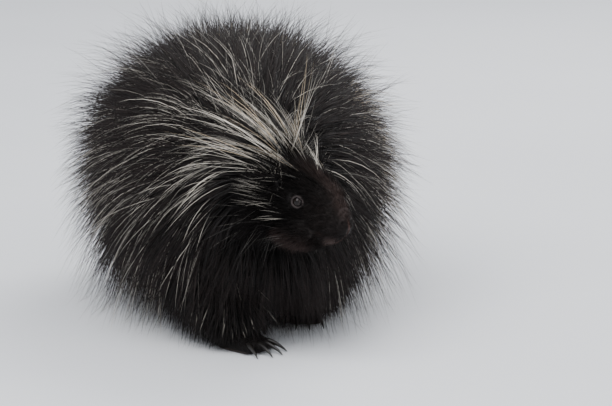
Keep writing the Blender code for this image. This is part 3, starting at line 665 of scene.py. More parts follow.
for name in FEET:
    here = foot_frame(name)
    for k, (middle, _, heading, length) in enumerate(toes_of(name)):
        ahead = (here.to_3x3() @ heading).normalized()
        base = here @ (middle + Vector((0, 0, 0.0035))) + ahead * 0.0045
        make_claw(name.replace("foot", "_claw") + f"_{k + 1}", base, ahead, length)
print("claws:", 2 * FORE_SIZES["toes"] + 2 * HIND_SIZES["toes"])

# %% [markdown]
# ## Markings
# One rule gives the colour at any point of the head: near-black fur that turns warm brown along
# the bridge, a bare grey-brown rim round the eye, pinkish-brown nostrils and lips, and a paler
# lower muzzle that is painted much lighter than its own colour, as painted light against the shade
# under the snout. The skin takes its colours from it, and so does the fur of the face. Painting by
# hand would drift apart.

# %% Markings
BLACK = np.array((0.0068, 0.0057, 0.0054))
BROWN = np.array((0.0150, 0.0114, 0.0104))
WARM = np.array((0.0460, 0.0310, 0.0280))
BARE = np.array((0.037, 0.030, 0.029))
# Paler muzzle, partly its own colour and partly painted light against the shade under the snout.
MUZZLE_AND_PAINTED_LIGHT = np.array((0.150, 0.106, 0.096))
LIP = np.array((0.085, 0.046, 0.039))
UMBER = np.array((0.0205, 0.0152, 0.0140))
SOLE = (0.035, 0.027, 0.024)
IVORY = np.array((0.80, 0.74, 0.64))
CREAM = np.array((0.72, 0.58, 0.40))
YELLOW = np.array((0.50, 0.41, 0.22))


def mix(one, two, share):
    return one + (two - one) * np.asarray(share)[..., None]


def folded(points):
    """The points in the head's frame, with its right side laid over its left."""
    local = to_local(points, HEAD)
    return np.stack([np.abs(local[:, 0]), local[:, 1], local[:, 2]], 1)


def eye_distance(both):
    return np.linalg.norm(both - np.array(EYE_PLACE), axis=1)


def head_tone(points):
    """The colour of the skin and fur at these points of the head, with painted light on the lower
    muzzle.
    """
    both = folded(points)
    x, y, z = both.T
    tone = mix(np.tile(BLACK, (len(points), 1)), BROWN, 0.6 * smooth(0.004, -0.030, y))
    bridge = smooth(0.016, 0.004, x) * smooth(0.006, 0.018, z) * smooth(0.022, -0.012, y)
    tone = mix(tone, WARM, 0.65 * bridge)
    cheek = smooth(-0.020, -0.030, z) * smooth(-0.034, -0.022, y) * smooth(0.016, 0.000, y)
    tone = mix(tone, WARM, 0.75 * cheek)
    tone = mix(tone, BARE, smooth(0.0074, 0.0067, eye_distance(both)))
    # Lower muzzle: a paler patch of its own, made about three times lighter still as painted light,
    # so it stays light in the shade under the snout.
    front = np.linalg.norm((both - [0.0050, -0.0410, -0.0110]) / [1.0, 0.9, 1.3], axis=1)
    tone = mix(tone, MUZZLE_AND_PAINTED_LIGHT, 0.65 * smooth(0.0120, 0.0050, front))
    rim = smooth(0.0024, 0.0008, x) * smooth(-0.040, -0.046, y)
    lips = smooth(0.0034, 0.0012, far_from_line(both, MOUTH)) * smooth(-0.030, -0.042, y)
    return mix(tone, LIP, 0.45 * np.maximum(lips, rim * (z < 0.010)))


def bareness(points):
    """0 in full fur, 1 where the skin is bare: round the eyes, on the nose and along the lips."""
    both = folded(points)
    nose = np.linalg.norm((both - [0.0068, -0.0478, 0.0070]) / [1.0, 1.0, 0.9], axis=1)
    eye = smooth(0.0077, 0.0068, eye_distance(both))
    bare = np.maximum(eye, smooth(0.0052, 0.0036, nose))
    return np.maximum(bare, smooth(0.0016, 0.0006, far_from_line(both, MOUTH)))


skin = body_skin
parts = [skin, head_skin] + foot_skins
with bpy.context.temp_override(active_object=skin, object=skin, selected_editable_objects=parts):
    bpy.ops.object.join()
skin.name = "skin"
skin.data.name = "skin"
points = points_of(skin.data)
near_head = np.linalg.norm(to_local(points, HEAD) / [0.040, 0.062, 0.048], axis=1) < 1.25
tone = np.tile(BLACK, (len(points), 1))
tone[near_head] = head_tone(points[near_head])
tone[points[:, 2] < 0.0025] = SOLE
paint(skin.data, tone)
skin.data.materials.clear()
skin.data.materials.append(skin_finish)
skin.data.shade_smooth()
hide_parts("head", "neck", "torso", "tail", "ear_left", "ear_right",
            *LEG_ROWS, *FEET)
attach(skin, "root")
print("skin:", len(skin.data.polygons), "faces")

# %% [markdown]
# ## Eyes
# A ball with a slight bulge for the cornea, near black with a dark brown iris that shows only
# in strong light, under a wet clear coat.

# %% Eyes
wet, tree, shader = new_material("wet_eye", 0.25)
shader.inputs["Specular IOR Level"].default_value = 0.16
shader.inputs["Coat Weight"].default_value = 0.12
shader.inputs["Coat Roughness"].default_value = 0.03
link(tree, tone_node(tree), "Color", shader, "Base Color")
PUPIL = (0.004, 0.003, 0.003)
IRIS = np.array((0.012, 0.008, 0.006))
for side, word in ((1, "left"), (-1, "right")):
    bm = bmesh.new()
    add_ball(bm, (0, 0, 0), (EYE_RADIUS,) * 3, segments=40, rings=28)
    for vertex in bm.verts:
        reach = math.hypot(vertex.co.x, vertex.co.y)
        if vertex.co.z > 0:
            vertex.co.z += 0.0005 * math.exp(-((reach / 0.0034) ** 4))
    mesh = mesh_from(bm, "eyeball_" + word)
    points = points_of(mesh)
    reach = np.hypot(points[:, 0], points[:, 1])
    ring = smooth(0.0019, 0.0023, reach) * smooth(0.0040, 0.0036, reach) * (points[:, 2] > 0)
    paint(mesh, mix(np.tile(PUPIL, (len(points), 1)), IRIS, ring))
    mesh.transform(HEAD @ eye_frame(side))
    mesh.shade_smooth()
    mesh.materials.append(wet)
    eyeball = new_object("eyeball_" + word, mesh)
    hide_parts("eye_" + word)
    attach(eyeball, "root")
print("eyes: 2")

# %% [markdown]
# ## How a hair is made
# Every hair is a thin three-sided solid that follows a path from its root: it starts with a
# lift off the skin, leans with the lie of the coat and falls under its own weight. All hairs of
# a layer are worked out at once in arrays, which is far quicker than one object per hair, and
# joined into pieces small enough to handle. Each hair has its own small patch on the map OFBake.
# Hairs that would leave the box of the solids are grown shorter.

# %% Hair paths
DOWN = np.array((0.0, 0.0, -1.0))
FLOOR = 0.0012
MARGIN = 0.004
BOX_LOW = np.array(cad_box[0]) - MARGIN
BOX_HIGH = np.array(cad_box[1]) + MARGIN
KEEP = 0.12
TRIES = 5
SHORTER = 0.82


def paths(place, out, lie, length, lift, droop, steps, wave=0.05, sink=0.002):
    """The points along every hair, and the way it runs at each of them."""
    start = unit(lie * np.cos(lift)[:, None] + out * np.sin(lift)[:, None])
    side = unit(np.cross(start, out))
    phase = rng.uniform(0, math.tau, len(place))
    bend = rng.normal(0, wave, len(place))
    length = length.copy()
    for _ in range(TRIES):
        heading, here = start, place - out * sink
        points, ways = [here], [heading]
        for k in range(steps):
            part = (k + 1) / steps
            sway = bend * 0.7 + wave * np.sin(phase + part * 4.0)
            fall = DOWN * (droop * (0.5 + part))[:, None]
            heading = unit(heading + fall + side * sway[:, None] + lie * KEEP)
            here = here + heading * (length / steps)[:, None]
            here[:, 2] = np.maximum(here[:, 2], FLOOR)
            points.append(here)
            ways.append(heading)
        found = np.stack(points, 1)
        outside = np.any((found < BOX_LOW) | (found > BOX_HIGH), axis=(1, 2))
        if not outside.any():
            break
        length[outside] *= SHORTER
    return found, np.stack(ways, 1)


# %% [markdown]
# ## From paths to solids
# A real hair is a thin tapering tube. Blender's own hair curves would be quicker to set up, but
# the finished model keeps only meshes, so each hair is a closed three-sided solid along its
# path. All hairs of a layer are written as whole arrays, because a loop would take minutes.

# %% Hair solids
PIECE_LIMIT = 190000
TAPER = 0.9
coat_total = 0


def hair_faces(rings):
    """The faces of one hair: its flat root, its three sides and its tip."""
    faces = [(2, 1, 0)]
    for r in range(rings - 1):
        for c in range(3):
            d = (c + 1) % 3
            faces.append((3 * r + c, 3 * r + d, 3 * r + 3 + d, 3 * r + 3 + c))
    last = 3 * rings - 3
    return faces + [(last + c, last + (c + 1) % 3, 3 * rings) for c in range(3)]


def hair_points(points, ways, width, flat, part):
    """Three corners round each point of the paths, and one at each tip."""
    count, rings = points.shape[0], points.shape[1] - 1
    profile = np.minimum(0.55 + 3.0 * part, 1.0) * (1 - part ** 2.2) ** TAPER
    reference = unit(rng.normal(size=(count, 3)))
    across = unit(np.cross(ways, reference[:, None, :]))
    over = np.cross(ways, across)
    radius = (width / 2)[:, None, None] * profile[None, :rings, None]
    corners = []
    for c in range(3):
        turn = math.tau * c / 3
        ring = across[:, :rings] * math.cos(turn) + over[:, :rings] * (math.sin(turn) * flat)
        corners.append(points[:, :rings] + ring * radius)
    solid = np.stack(corners, 2).reshape(count, rings * 3, 3)
    return np.concatenate([solid, points[:, rings:]], 1)


def hair_mesh(name, solid, tones, maps, faces):
    """One mesh of many hairs of the same make, with their colours and their map."""
    amount, each = solid.shape[:2]
    corners = np.concatenate([np.array(face) for face in faces])
    index = (corners[None] + each * np.arange(amount)[:, None]).ravel()
    sizes = np.tile([len(face) for face in faces], amount)
    mesh = bpy.data.meshes.new(name)
    mesh.vertices.add(amount * each)
    mesh.vertices.foreach_set("co", solid.ravel())
    mesh.loops.add(len(index))
    mesh.loops.foreach_set("vertex_index", index)
    mesh.polygons.add(len(sizes))
    mesh.polygons.foreach_set("loop_start", np.concatenate([[0], np.cumsum(sizes)[:-1]]))
    mesh.update(calc_edges=True)
    paint(mesh, tones.reshape(-1, 3))
    layer = mesh.uv_layers.new(name="OFBake")
    layer.data.foreach_set("uv", maps.reshape(-1, 2)[index].ravel())
    mesh.shade_smooth()
    return mesh


def hairs(name, points, ways, width, flat, root_tone, tip_tone, change, on_map, material):
    """Makes the hairs along these paths, in pieces small enough to handle."""
    global coat_total
    count, rings = points.shape[0], points.shape[1] - 1
    part = np.linspace(0, 1, rings + 1)
    solid = hair_points(points, ways, width, flat, part)
    blend = smooth(0, 1, (part[None, :] - change[:, None]) / 0.25 + 0.5)
    tone = root_tone[:, None, :] + (tip_tone - root_tone)[:, None, :] * blend[:, :, None]
    tones = np.concatenate([np.repeat(tone[:, :rings], 3, 1), tone[:, rings:]], 1)
    across, along = np.tile([-0.001, 0.0, 0.001], rings), part[:rings] * 0.003 - 0.0015
    spots = np.concatenate([np.stack([across, np.repeat(along, 3)], 1), [[0.0, 0.0015]]])
    maps = on_map[:, None, :] + spots[None]
    triangles = 4 + 6 * (rings - 1)
    coat_total += count * triangles
    per_piece = PIECE_LIMIT // triangles
    for number, first in enumerate(range(0, count, per_piece)):
        block = slice(first, min(first + per_piece, count))
        mesh = hair_mesh(f"{name}_{number + 1}", solid[block], tones[block], maps[block],
                         hair_faces(rings))
        mesh.materials.append(material)
        piece = new_object(mesh.name, mesh)
        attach(piece, "root")
    print(f"{name}: {count} hairs of {triangles} triangles, {coat_total} so far")


# %% [markdown]
# ## Roots
# Hair grows evenly over the skin, more densely where a marking asks for it. Points could be
# scattered by a modifier, but each root also needs its section and angle on the body, which set
# its lie and its length. So roots are drawn by area, from the forms or from the skin's mesh.

# %% Roots


def roots_on(form, count, s_range, angles, weight=None):
    """Roots spread evenly over a form, or by a weight that takes the section and angle."""
    tries = count * 6 + 400
    s = rng.uniform(*s_range, tries)
    angle = np.radians(rng.uniform(*angles, tries))
    small = 0.02
    around = form.point(s, angle + small) - form.point(s, angle - small)
    along = form.point(s + small, angle) - form.point(s - small, angle)
    area = np.linalg.norm(np.cross(around, along), axis=1)
    if weight is not None:
        area = area * weight(s, angle)
    chosen = rng.choice(tries, count, replace=True, p=area / area.sum())
    s = s[chosen] + rng.normal(0, 0.02, count)
    return np.clip(s, *s_range), angle[chosen] + rng.normal(0, 0.01, count)


def roots_on_skin(count, region, weight=None):
    """Roots spread evenly over the part of the skin where region(points) is true."""
    mesh = skin.data
    mesh.calc_loop_triangles()
    corners = np.empty(len(mesh.loop_triangles) * 3, int)
    mesh.loop_triangles.foreach_get("vertices", corners)
    corners = corners.reshape(-1, 3)
    points, outs = points_of(mesh), points_of(mesh, "normal")
    triangles = points[corners]
    middle = triangles.mean(1)
    wanted = region(middle)
    corners, triangles, middle = corners[wanted], triangles[wanted], middle[wanted]
    one, two = triangles[:, 1] - triangles[:, 0], triangles[:, 2] - triangles[:, 0]
    area = np.linalg.norm(np.cross(one, two), axis=1)
    if weight is not None:
        area = area * weight(middle)
    chosen = rng.choice(len(area), count, p=area / area.sum())
    a, b = rng.random(count), rng.random(count)
    a, b = np.where(a + b > 1, 1 - a, a), np.where(a + b > 1, 1 - b, b)
    share = np.stack([1 - a - b, a, b], 1)[:, :, None]
    return (triangles[chosen] * share).sum(1), unit((outs[corners[chosen]] * share).sum(1))


def along_skin(way, out):
    """The part of a direction that runs along the skin."""
    return unit(way - out * np.sum(way * out, 1, keepdims=True))


def turned_by(turn, lie, out):
    """The directions turned by these angles within the skin."""
    return unit(lie * np.cos(turn) + np.cross(out, lie) * np.sin(turn))


def scatter(lie, out, amount):
    """Turns each direction a little within the skin."""
    return turned_by(rng.normal(0, 1, len(lie))[:, None] * np.asarray(amount), lie, out)


def grey(count, tone, low, high):
    """The tone for each of count hairs, some lighter and some darker."""
    return np.tile(tone, (count, 1)) * rng.uniform(low, high, (count, 1))


# %% [markdown]
# ## The coat of the body
# The real coat has woolly underfur, coarse dark guard hairs that make its outline, and long
# pale-tipped hairs that fan from the crown over the shoulders. Each is a layer of its own. They
# lie back along the body, lift most round the shoulders, hang on the flanks as a skirt, and
# fall from the chest between the legs.

# %% Coat of the body


def body_lie(s, angle):
    """How the coat lies on the body: its roots, ways, lift, droop and full length."""
    place, out, back = body.surface(s, angle)
    low = np.clip(-1.4 * np.sin(angle), 0, 1)
    under = np.clip(-np.sin(angle), 0, 1)
    flank = np.abs(np.cos(angle))
    front = np.clip((s - 4.5) / 2.5, 0, 1)
    rump = np.clip((2.4 - s) / 2.4, 0, 1)
    chest = smooth(3.2, 5.2, s) * smooth(0.55, 0.85, under)
    hang = 0.20 + 1.7 * low + 0.25 * flank - 1.0 * chest
    lie = along_skin(back + DOWN * hang[:, None], out)
    nape = smooth(8.0, 9.7, s)
    lift = np.radians(48 + 6 * flank + 6 * front - 8 * rump - 12 * low + 34 * chest - 16 * nape)
    droop = 0.07 + 0.07 * flank + 0.12 * low
    skirt = np.minimum(1, 1.8 * low) * smooth(0.95, 0.55, under) * (1 - rump)
    length = (body.depth(s, angle) + 0.010 + 0.036 * skirt + 0.040 * chest
              + 0.016 * smooth(0.6, 0.9, under))
    return place, out, lie, lift, droop, length


def dark_layer(name, count, longer, width, steps, tone, wave,
               flat=0.6, spread=0.12, more_lift=0.0, end=9.5):
    """Dark hairs all over the body, as much longer than the coat is deep as longer says."""
    count = int(count * FEW)
    s, angle = roots_on(body, count, (0.10, end), (0, 360))
    place, out, lie, lift, droop, length = body_lie(s, angle)
    length = length * longer * rng.uniform(0.80, 1.15, count)
    lift = lift + rng.normal(more_lift, 0.10, count)
    low = smooth(0.3, 0.9, -np.sin(angle))
    lie = scatter(lie, out, spread + 0.22 * low[:, None])
    points, ways = paths(place, out, lie, length, lift, droop, steps, wave)
    widths = width * rng.uniform(0.75, 1.25, count) * (1 - 0.4 * low)
    hairs(name, points, ways, widths, flat, grey(count, BLACK * 0.8, 0.7, 1.2),
          grey(count, tone, 0.6, 1.35), rng.uniform(0.35, 0.6, count),
          body.place_on_map(s, angle), dark_hair)


dark_layer("underfur", 16000, 0.92, 0.0038, 3, BLACK * 1.7, 0.05, flat=0.35, more_lift=0.06)
dark_layer("guard_hair", 25000, 1.27, 0.0011, 3, UMBER, 0.06, spread=0.18)
dark_layer("wisps", 7000, 1.68, 0.00074, 4, UMBER * 1.3, 0.10, spread=0.32, more_lift=0.18, end=8.6)


# %% [markdown]
# ## Pale hairs
# The longest hairs of the real coat are dark with ivory ends, and they lie on top in small
# bunches that part and cross. Single hairs spread evenly would look like grass, so each bunch
# has one place, one way and one length, and its hairs differ a little from those.

# %% Pale hairs


def left_hip(s, angle):
    """1 on the left hip, where the tips are cream and thick enough to fringe the outline."""
    rise = np.sin(angle)
    across = smooth(0.0, 0.12, rise) * smooth(0.80, 0.55, rise) * (np.cos(angle) > 0)
    return smooth(2.2, 3.2, s) * smooth(5.6, 4.8, s) * across


def pale_weight(s, angle):
    """Pale hairs are thickest on the neck and shoulders, and few on the belly and rump."""
    high = smooth(-0.60, 0.10, np.sin(angle))
    turn = np.degrees(angle)
    mane = smooth(5.6, 7.6, s) * np.exp(-((turn - 118) / 34) ** 2)
    right = np.exp(-((np.mod(turn, 360) - 197) / 27) ** 2)
    flank = smooth(3.0, 5.0, s) * smooth(7.4, 6.2, s) * right
    shoulders = 0.45 * smooth(3.2, 6.0, s) + 0.7 * smooth(6.4, 8.2, s) - 0.6 * smooth(8.5, 9.4, s)
    return high * (0.20 + shoulders + 0.8 * mane + 0.5 * left_hip(s, angle)) + 0.6 * flank


bunches, per = int(540 * FEW), 3
s, angle = roots_on(body, bunches, (0.2, 9.5), (0, 360), pale_weight)
turned = np.repeat(rng.normal(0, 0.24, bunches), per)[:, None]
longer = np.repeat(rng.uniform(0.85, 1.25, bunches), per)
raised = np.repeat(rng.normal(0, 0.12, bunches), per)
s = np.clip(np.repeat(s, per) + rng.normal(0, 0.13, bunches * per), 0.1, 9.6)
angle = np.repeat(angle, per) + rng.normal(0, 0.07, bunches * per)
count = len(s)
place, out, lie, lift, droop, length = body_lie(s, angle)
lie = turned_by(turned, lie, out)
shoulder = smooth(4.0, 6.5, s) * smooth(-0.9, -0.2, np.sin(angle))
length = np.maximum(length, 0.050) * (1.38 + 0.27 * shoulder) * longer
length = length * rng.uniform(0.8, 1.15, count)
lie = scatter(lie, out, 0.12)
lift = lift + raised + rng.normal(0, 0.08, count)
points, ways = paths(place, out, lie, length, lift, droop * 1.2, 7, 0.05)
hip = left_hip(s, angle)[:, None] * rng.uniform(0.4, 1.0, (count, 1))
bright = rng.uniform(0.0, 1.0, (count, 1)) ** 1.2 + 0.12
ends = (IVORY * (1 - hip) + CREAM * hip) * np.maximum(bright, 0.6 * hip)
hairs("pale_hair", points, ways, rng.uniform(0.00050, 0.00078, count), 0.8,
      grey(count, BLACK, 0.8, 1.2), ends, rng.uniform(0.22, 0.60, count),
      body.place_on_map(s, angle), pale_hair)

# %% [markdown]
# ## Hip and left flank
# From the left hip to the left flank the hairs are pale almost from the root, so they stand out
# along the outline as a light fringe. They are a layer of their own, because a pale hair of the
# body would show its dark lower half there.

# %% Pale fringe


def left_flank(s, angle):
    """1 along the left flank, from the shoulder to the hip."""
    along, rise = smooth(2.8, 4.2, s) * smooth(6.8, 5.6, s), np.sin(angle)
    return along * smooth(-0.70, -0.35, rise) * smooth(0.55, 0.30, rise)


def pale_fringe(name, count, where, angles, longer, more_lift, width, tone, change):
    """Pale hairs where the weight says, raised by more_lift degrees from the coat's own lift."""
    count = int(count * FEW)
    s, angle = roots_on(body, count, (2.2, 6.8), angles, where)
    place, out, lie, lift, droop, length = body_lie(s, angle)
    length = length * longer * rng.uniform(0.75, 1.15, count)
    lift = lift + math.radians(more_lift) + rng.normal(0, 0.10, count)
    points, ways = paths(place, out, scatter(lie, out, 0.22), length, lift, droop, 5, 0.08)
    hairs(name, points, ways, rng.uniform(*width, count), 0.8, grey(count, BLACK, 0.8, 1.2),
          grey(count, tone, 0.35, 1.0), rng.uniform(*change, count),
          body.place_on_map(s, angle), pale_hair)


pale_fringe("hip_tips", 300, left_hip, (0, 60), 1.36, 14,
            (0.00050, 0.00085), CREAM * 1.15, (0.30, 0.55))
pale_fringe("flank_tips", 380, left_flank, (-48, 34), 1.50, 12,
            (0.00036, 0.00055), IVORY, (0.30, 0.55))

# %% [markdown]
# ## Crown and ruff
# The crest starts on the forehead and fans over the nape: it is the brightest part of the coat,
# in bundles of ivory and cream hairs with black between them. Each group of hairs shares a
# centre and a direction. Shorter white-tipped hairs lie behind the eyes and over the ears.

# %% Crown
CROWN_SEED = 12
LONGEST = 0.170


def head_map(points):
    """Where these points of the head lie on the flat map: round its axis, and along it."""
    local = to_local(points, HEAD)
    turn = np.mod(np.arctan2(local[:, 2], local[:, 0]) / math.tau + 0.25, 1.0)
    along = np.clip((0.052 - local[:, 1]) / 0.11, 0, 1)
    return np.stack([0.36 * turn + 0.01, 0.62 + 0.36 * along], 1)


def on_head(points):
    local = to_local(points, HEAD)
    return (np.linalg.norm(local / [0.064, 0.072, 0.064], axis=1) < 1.0) & (local[:, 1] < 0.047)


def head_lie(points, out, source=-0.075, fall=0.18, fan=1.0):
    """Fur runs back from a source on the head's middle line, and down the cheeks."""
    local = to_local(points, HEAD)
    way = (local - [0.0, source, -0.002]) * [fan, 1.0, 1.0]
    way[:, 2] = way[:, 2] * 0.6
    turned = way @ np.array(HEAD)[:3, :3].T
    return along_skin(unit(turned) + DOWN * fall, out)


def clear_of_eye(both):
    return smooth(0.013, 0.018, eye_distance(both))


def crown_weight(points):
    both = folded(points)
    front = smooth(-0.006, 0.010, both[:, 1]) + 0.3 * smooth(0.020, 0.036, both[:, 1])
    middle = smooth(0.014, 0.026, both[:, 2]) * front * smooth(0.027, 0.016, both[:, 0])
    return middle * clear_of_eye(both)


def rising_weight(points):
    """The left half of the crown, whose hairs stand up past the forehead."""
    return crown_weight(points) * smooth(-0.004, 0.006, to_local(points, HEAD)[:, 0])


def temple_weight(points):
    both = folded(points)
    _, y, z = both.T
    behind = smooth(0.006, 0.014, y) * smooth(0.040, 0.028, y) * clear_of_eye(both)
    return behind * smooth(-0.016, -0.004, z) * smooth(0.026, 0.018, z)


def bundled(name, bundles, per, weight, lengths, lift, width, bright, jitter=0.0014,
            together=0.05, source=-0.075, fall=0.18, warm=0.0, droop=0.05, wave=0.03, fan=1.0,
            vary_lift=0.08):
    """Hairs of the head in groups, each with one centre, one direction and one colour."""
    bundles = int(bundles * FEW)
    centre, centre_out = roots_on_skin(bundles, on_head, weight)
    place = np.repeat(centre, per, 0) + rng.normal(0, jitter, (bundles * per, 3))
    out = np.repeat(centre_out, per, 0)
    count = len(place)
    back = folded(place)[:, 1]
    turned = np.repeat(rng.normal(0, 0.15, bundles), per)[:, None]
    lie = head_lie(place, out, source, fall, fan)
    lie = turned_by(turned, lie, out)
    longer = np.repeat(rng.uniform(0.75, 1.25, bundles), per)
    length = np.interp(back, (-0.004, 0.036), lengths) * longer
    length = np.minimum(length * rng.uniform(0.8, 1.1, count), LONGEST)
    rise = math.radians(lift) + np.repeat(rng.normal(0, vary_lift, bundles), per)
    rise = rise + rng.normal(0, 0.04, count)
    lie, droop = scatter(lie, out, together), np.full(count, droop)
    points, ways = paths(place, out, lie, length, rise, droop, 7, wave)
    warm = np.repeat(rng.random(bundles) < warm, per)[:, None]
    share = bright[0] + (bright[1] - bright[0]) * rng.random(bundles) ** 1.4
    share = np.repeat(share, per)[:, None] * rng.uniform(0.8, 1.15, (count, 1))
    hairs(name, points, ways, rng.uniform(*width, count), 0.8, head_tone(place),
          np.where(warm, CREAM, IVORY) * share, rng.uniform(0.14, 0.36, count),
          head_map(place), pale_hair)


rng = np.random.default_rng(CROWN_SEED)
bundled("crest", 38, 3, crown_weight, (0.085, 0.165), 37, (0.0005, 0.0008), (0.15, 1.35),
        jitter=0.0006, together=0.035, source=-0.030, fall=0.05, warm=0.30, wave=0.045, fan=1.7,
        vary_lift=0.13)
bundled("crest_rise", 40, 2, rising_weight, (0.045, 0.085), 54, (0.0004, 0.0006), (0.2, 1.1),
        jitter=0.0008, source=-0.030, fall=0.0, warm=0.15, wave=0.06, fan=1.3, vary_lift=0.13)
bundled("temple", 150, 2, temple_weight, (0.030, 0.046), 17, (0.00028, 0.00045), (0.2, 0.85),
        jitter=0.003, fall=0.0)

# %% [markdown]
# ## Fur of the face
# Short, close fur that runs back from the nose. It is shortest round the eyes and lips, and
# longer on the forehead, cheeks and throat, where it meets the crest and the ruff.

# %% Face


def face_weight(points):
    muzzle = smooth(-0.016, -0.036, folded(points)[:, 1])
    return (1.0 - bareness(points)) * (1.0 + 1.2 * muzzle)


count = int(19000 * FEW)
place, out = roots_on_skin(count, on_head, face_weight)
both = folded(place)
far = smooth(-0.048, 0.020, both[:, 1])
jaw = smooth(-0.014, -0.030, both[:, 2]) * smooth(-0.044, -0.020, both[:, 1])
length = 0.0042 + 0.0080 * far + 0.009 * jaw + 0.018 * smooth(0.016, 0.042, both[:, 1])
length = length + 0.016 * smooth(0.016, 0.030, both[:, 2]) * smooth(-0.020, 0.006, both[:, 1])
length = length * (1.0 - 0.5 * smooth(0.0180, 0.0080, eye_distance(both)))
length = length * rng.uniform(0.7, 1.3, count)
lift = np.radians(20 + 12 * far + 14 * jaw) + rng.normal(0, 0.08, count)
lie = scatter(head_lie(place, out), out, 0.14)
points, ways = paths(place, out, lie, length, lift, 0.05 + 0.12 * jaw, 2, 0.05, 0.0006)
tone = head_tone(place)
hairs("face_fur", points, ways, 0.0007 + 0.0005 * far, 0.5, tone * 0.7,
      tone * rng.uniform(0.55, 1.25, (count, 1)), np.full(count, 0.4),
      head_map(place), face_hair)


def throat_weight(points):
    both = folded(points)
    return smooth(-0.022, -0.030, both[:, 2]) * smooth(-0.030, -0.006, both[:, 1])


bundled("throat", 90, 2, throat_weight, (0.028, 0.060), 42, (0.0004, 0.0006), (0.01, 0.16),
        jitter=0.003, together=0.2, droop=0.10)

# %% [markdown]
# ## Fur of the legs
# Leg hair hangs down from elbow and knee over the feet, longest at the top. It is rooted on the
# legs' forms, as the coat is on the body's, so its length can follow the leg down.

# %% Legs
for name, form in legs.items():
    count = int((3000 if "fore" in name else 2200) * FEW)
    s, angle = roots_on(form, count, (0.9, 4.9), (0, 360))
    place, out, _ = form.surface(s, angle)
    lie = along_skin(np.tile(DOWN, (count, 1)), out)
    length = np.interp(s, (1.0, 3.0, 4.9), (0.075, 0.050, 0.016)) * rng.uniform(0.7, 1.2, count)
    lift = np.radians(34) + rng.normal(0, 0.12, count)
    lie, droop = scatter(lie, out, 0.2), np.full(count, 0.16)
    points, ways = paths(place, out, lie, length, lift, droop, 3, 0.06)
    pale = rng.random((count, 1)) < 0.02
    ends = np.where(pale, IVORY * 0.4, BLACK * 1.8) * rng.uniform(0.6, 1.3, (count, 1))
    hairs(name + "_fur", points, ways, rng.uniform(0.0010, 0.0026, count), 0.5,
          grey(count, BLACK, 0.7, 1.1), ends, rng.uniform(0.3, 0.6, count),
          form.place_on_map(s, angle), dark_hair)

# %% [markdown]
# ## Fur of the feet
# Short fur runs forward over the toes and covers the roots of the claws. The soles stay bare.
# It is rooted on the skin's mesh, because the toes have no simple form to draw from.

# %% Fur of the feet
for k, name in enumerate(FEET):
    here = foot_frame(name)
    count = int((1300 if "fore" in name else 1500) * FEW)

    def on_foot(points):
        local = to_local(points, here)
        reach = (np.abs(local[:, 0]) < 0.030) & (np.abs(local[:, 1] + 0.018) < 0.062)
        return reach & (points[:, 2] > 0.004) & (points[:, 2] < 0.048)

    place, out = roots_on_skin(count, on_foot)
    local = to_local(place, here)
    ahead = np.tile(np.array(here)[:3, :3] @ np.array((0.0, -1.0, 0.0)), (count, 1))
    falls = DOWN * smooth(0.012, -0.02, -local[:, 1])[:, None] * 1.5
    lie = along_skin(ahead + falls + DOWN * 0.25, out)
    length = (0.0075 + 0.0100 * smooth(0.012, 0.034, place[:, 2])) * rng.uniform(0.7, 1.3, count)
    lie = scatter(lie, out, 0.2)
    lift = np.radians(20) + rng.normal(0, 0.1, count)
    points, ways = paths(place, out, lie, length, lift, np.full(count, 0.06), 2, 0.05, 0.0006)
    u = 0.45 + 0.13 * k + np.clip(local[:, 0] / 0.06 + 0.5, 0, 1) * 0.11
    v = 0.64 + np.clip(local[:, 1] / 0.14 + 0.6, 0, 1) * 0.30
    hairs(name + "_fur", points, ways, np.full(count, 0.0011), 0.5, grey(count, BLACK, 0.8, 1.1),
          grey(count, BLACK, 1.1, 2.2), np.full(count, 0.4), np.stack([u, v], 1), dark_hair)

# %% [markdown]
# ## Hair of the tail
# The tail is thick, with stiff dark hairs that point to its tip, longer above than below.

# %% Tail
count = int(4600 * FEW)
s, angle = roots_on(tail, count, (0.6, 5.95), (0, 360))
place, out, back = tail.surface(s, angle)
low = smooth(0.2, -0.8, np.sin(angle))
length = (0.050 - 0.022 * low) * rng.uniform(0.7, 1.2, count)
lift = np.radians(30 - 8 * low) + rng.normal(0, 0.10, count)
lie, droop = scatter(-back, out, 0.14), np.full(count, 0.04)
points, ways = paths(place, out, lie, length, lift, droop, 3, 0.05)
pale = rng.random((count, 1)) < 0.10
ends = np.where(pale, CREAM * 0.6, BLACK * 2.0) * rng.uniform(0.6, 1.3, (count, 1))
hairs("tail_hair", points, ways, rng.uniform(0.0011, 0.0024, count), 0.6,
      grey(count, BLACK, 0.8, 1.2), ends, rng.uniform(0.3, 0.6, count),
      tail.place_on_map(s, angle), dark_hair)

# %% [markdown]
# ## Quills
# Pale quills with dark tips stand among the hair of the rump and along the top of the tail.
# They are stiff and all alike, so one quill is modelled and Geometry Nodes sets it on points
# scattered over a copy of the upper skin, each turned the way that the coat lies there. The
# result is kept as a plain mesh.

# %% One quill and the skin that carries quills
QUILL_ROWS = (  # how far along, radius and colour
    (-0.05, 0.0005, YELLOW * 1.1),
    (0.10, 0.0010, YELLOW * 1.3),
    (0.66, 0.0010, YELLOW * 1.3),
    (0.80, 0.0008, BLACK),
)
QUILL_SCALES = (0.72, 1.12)


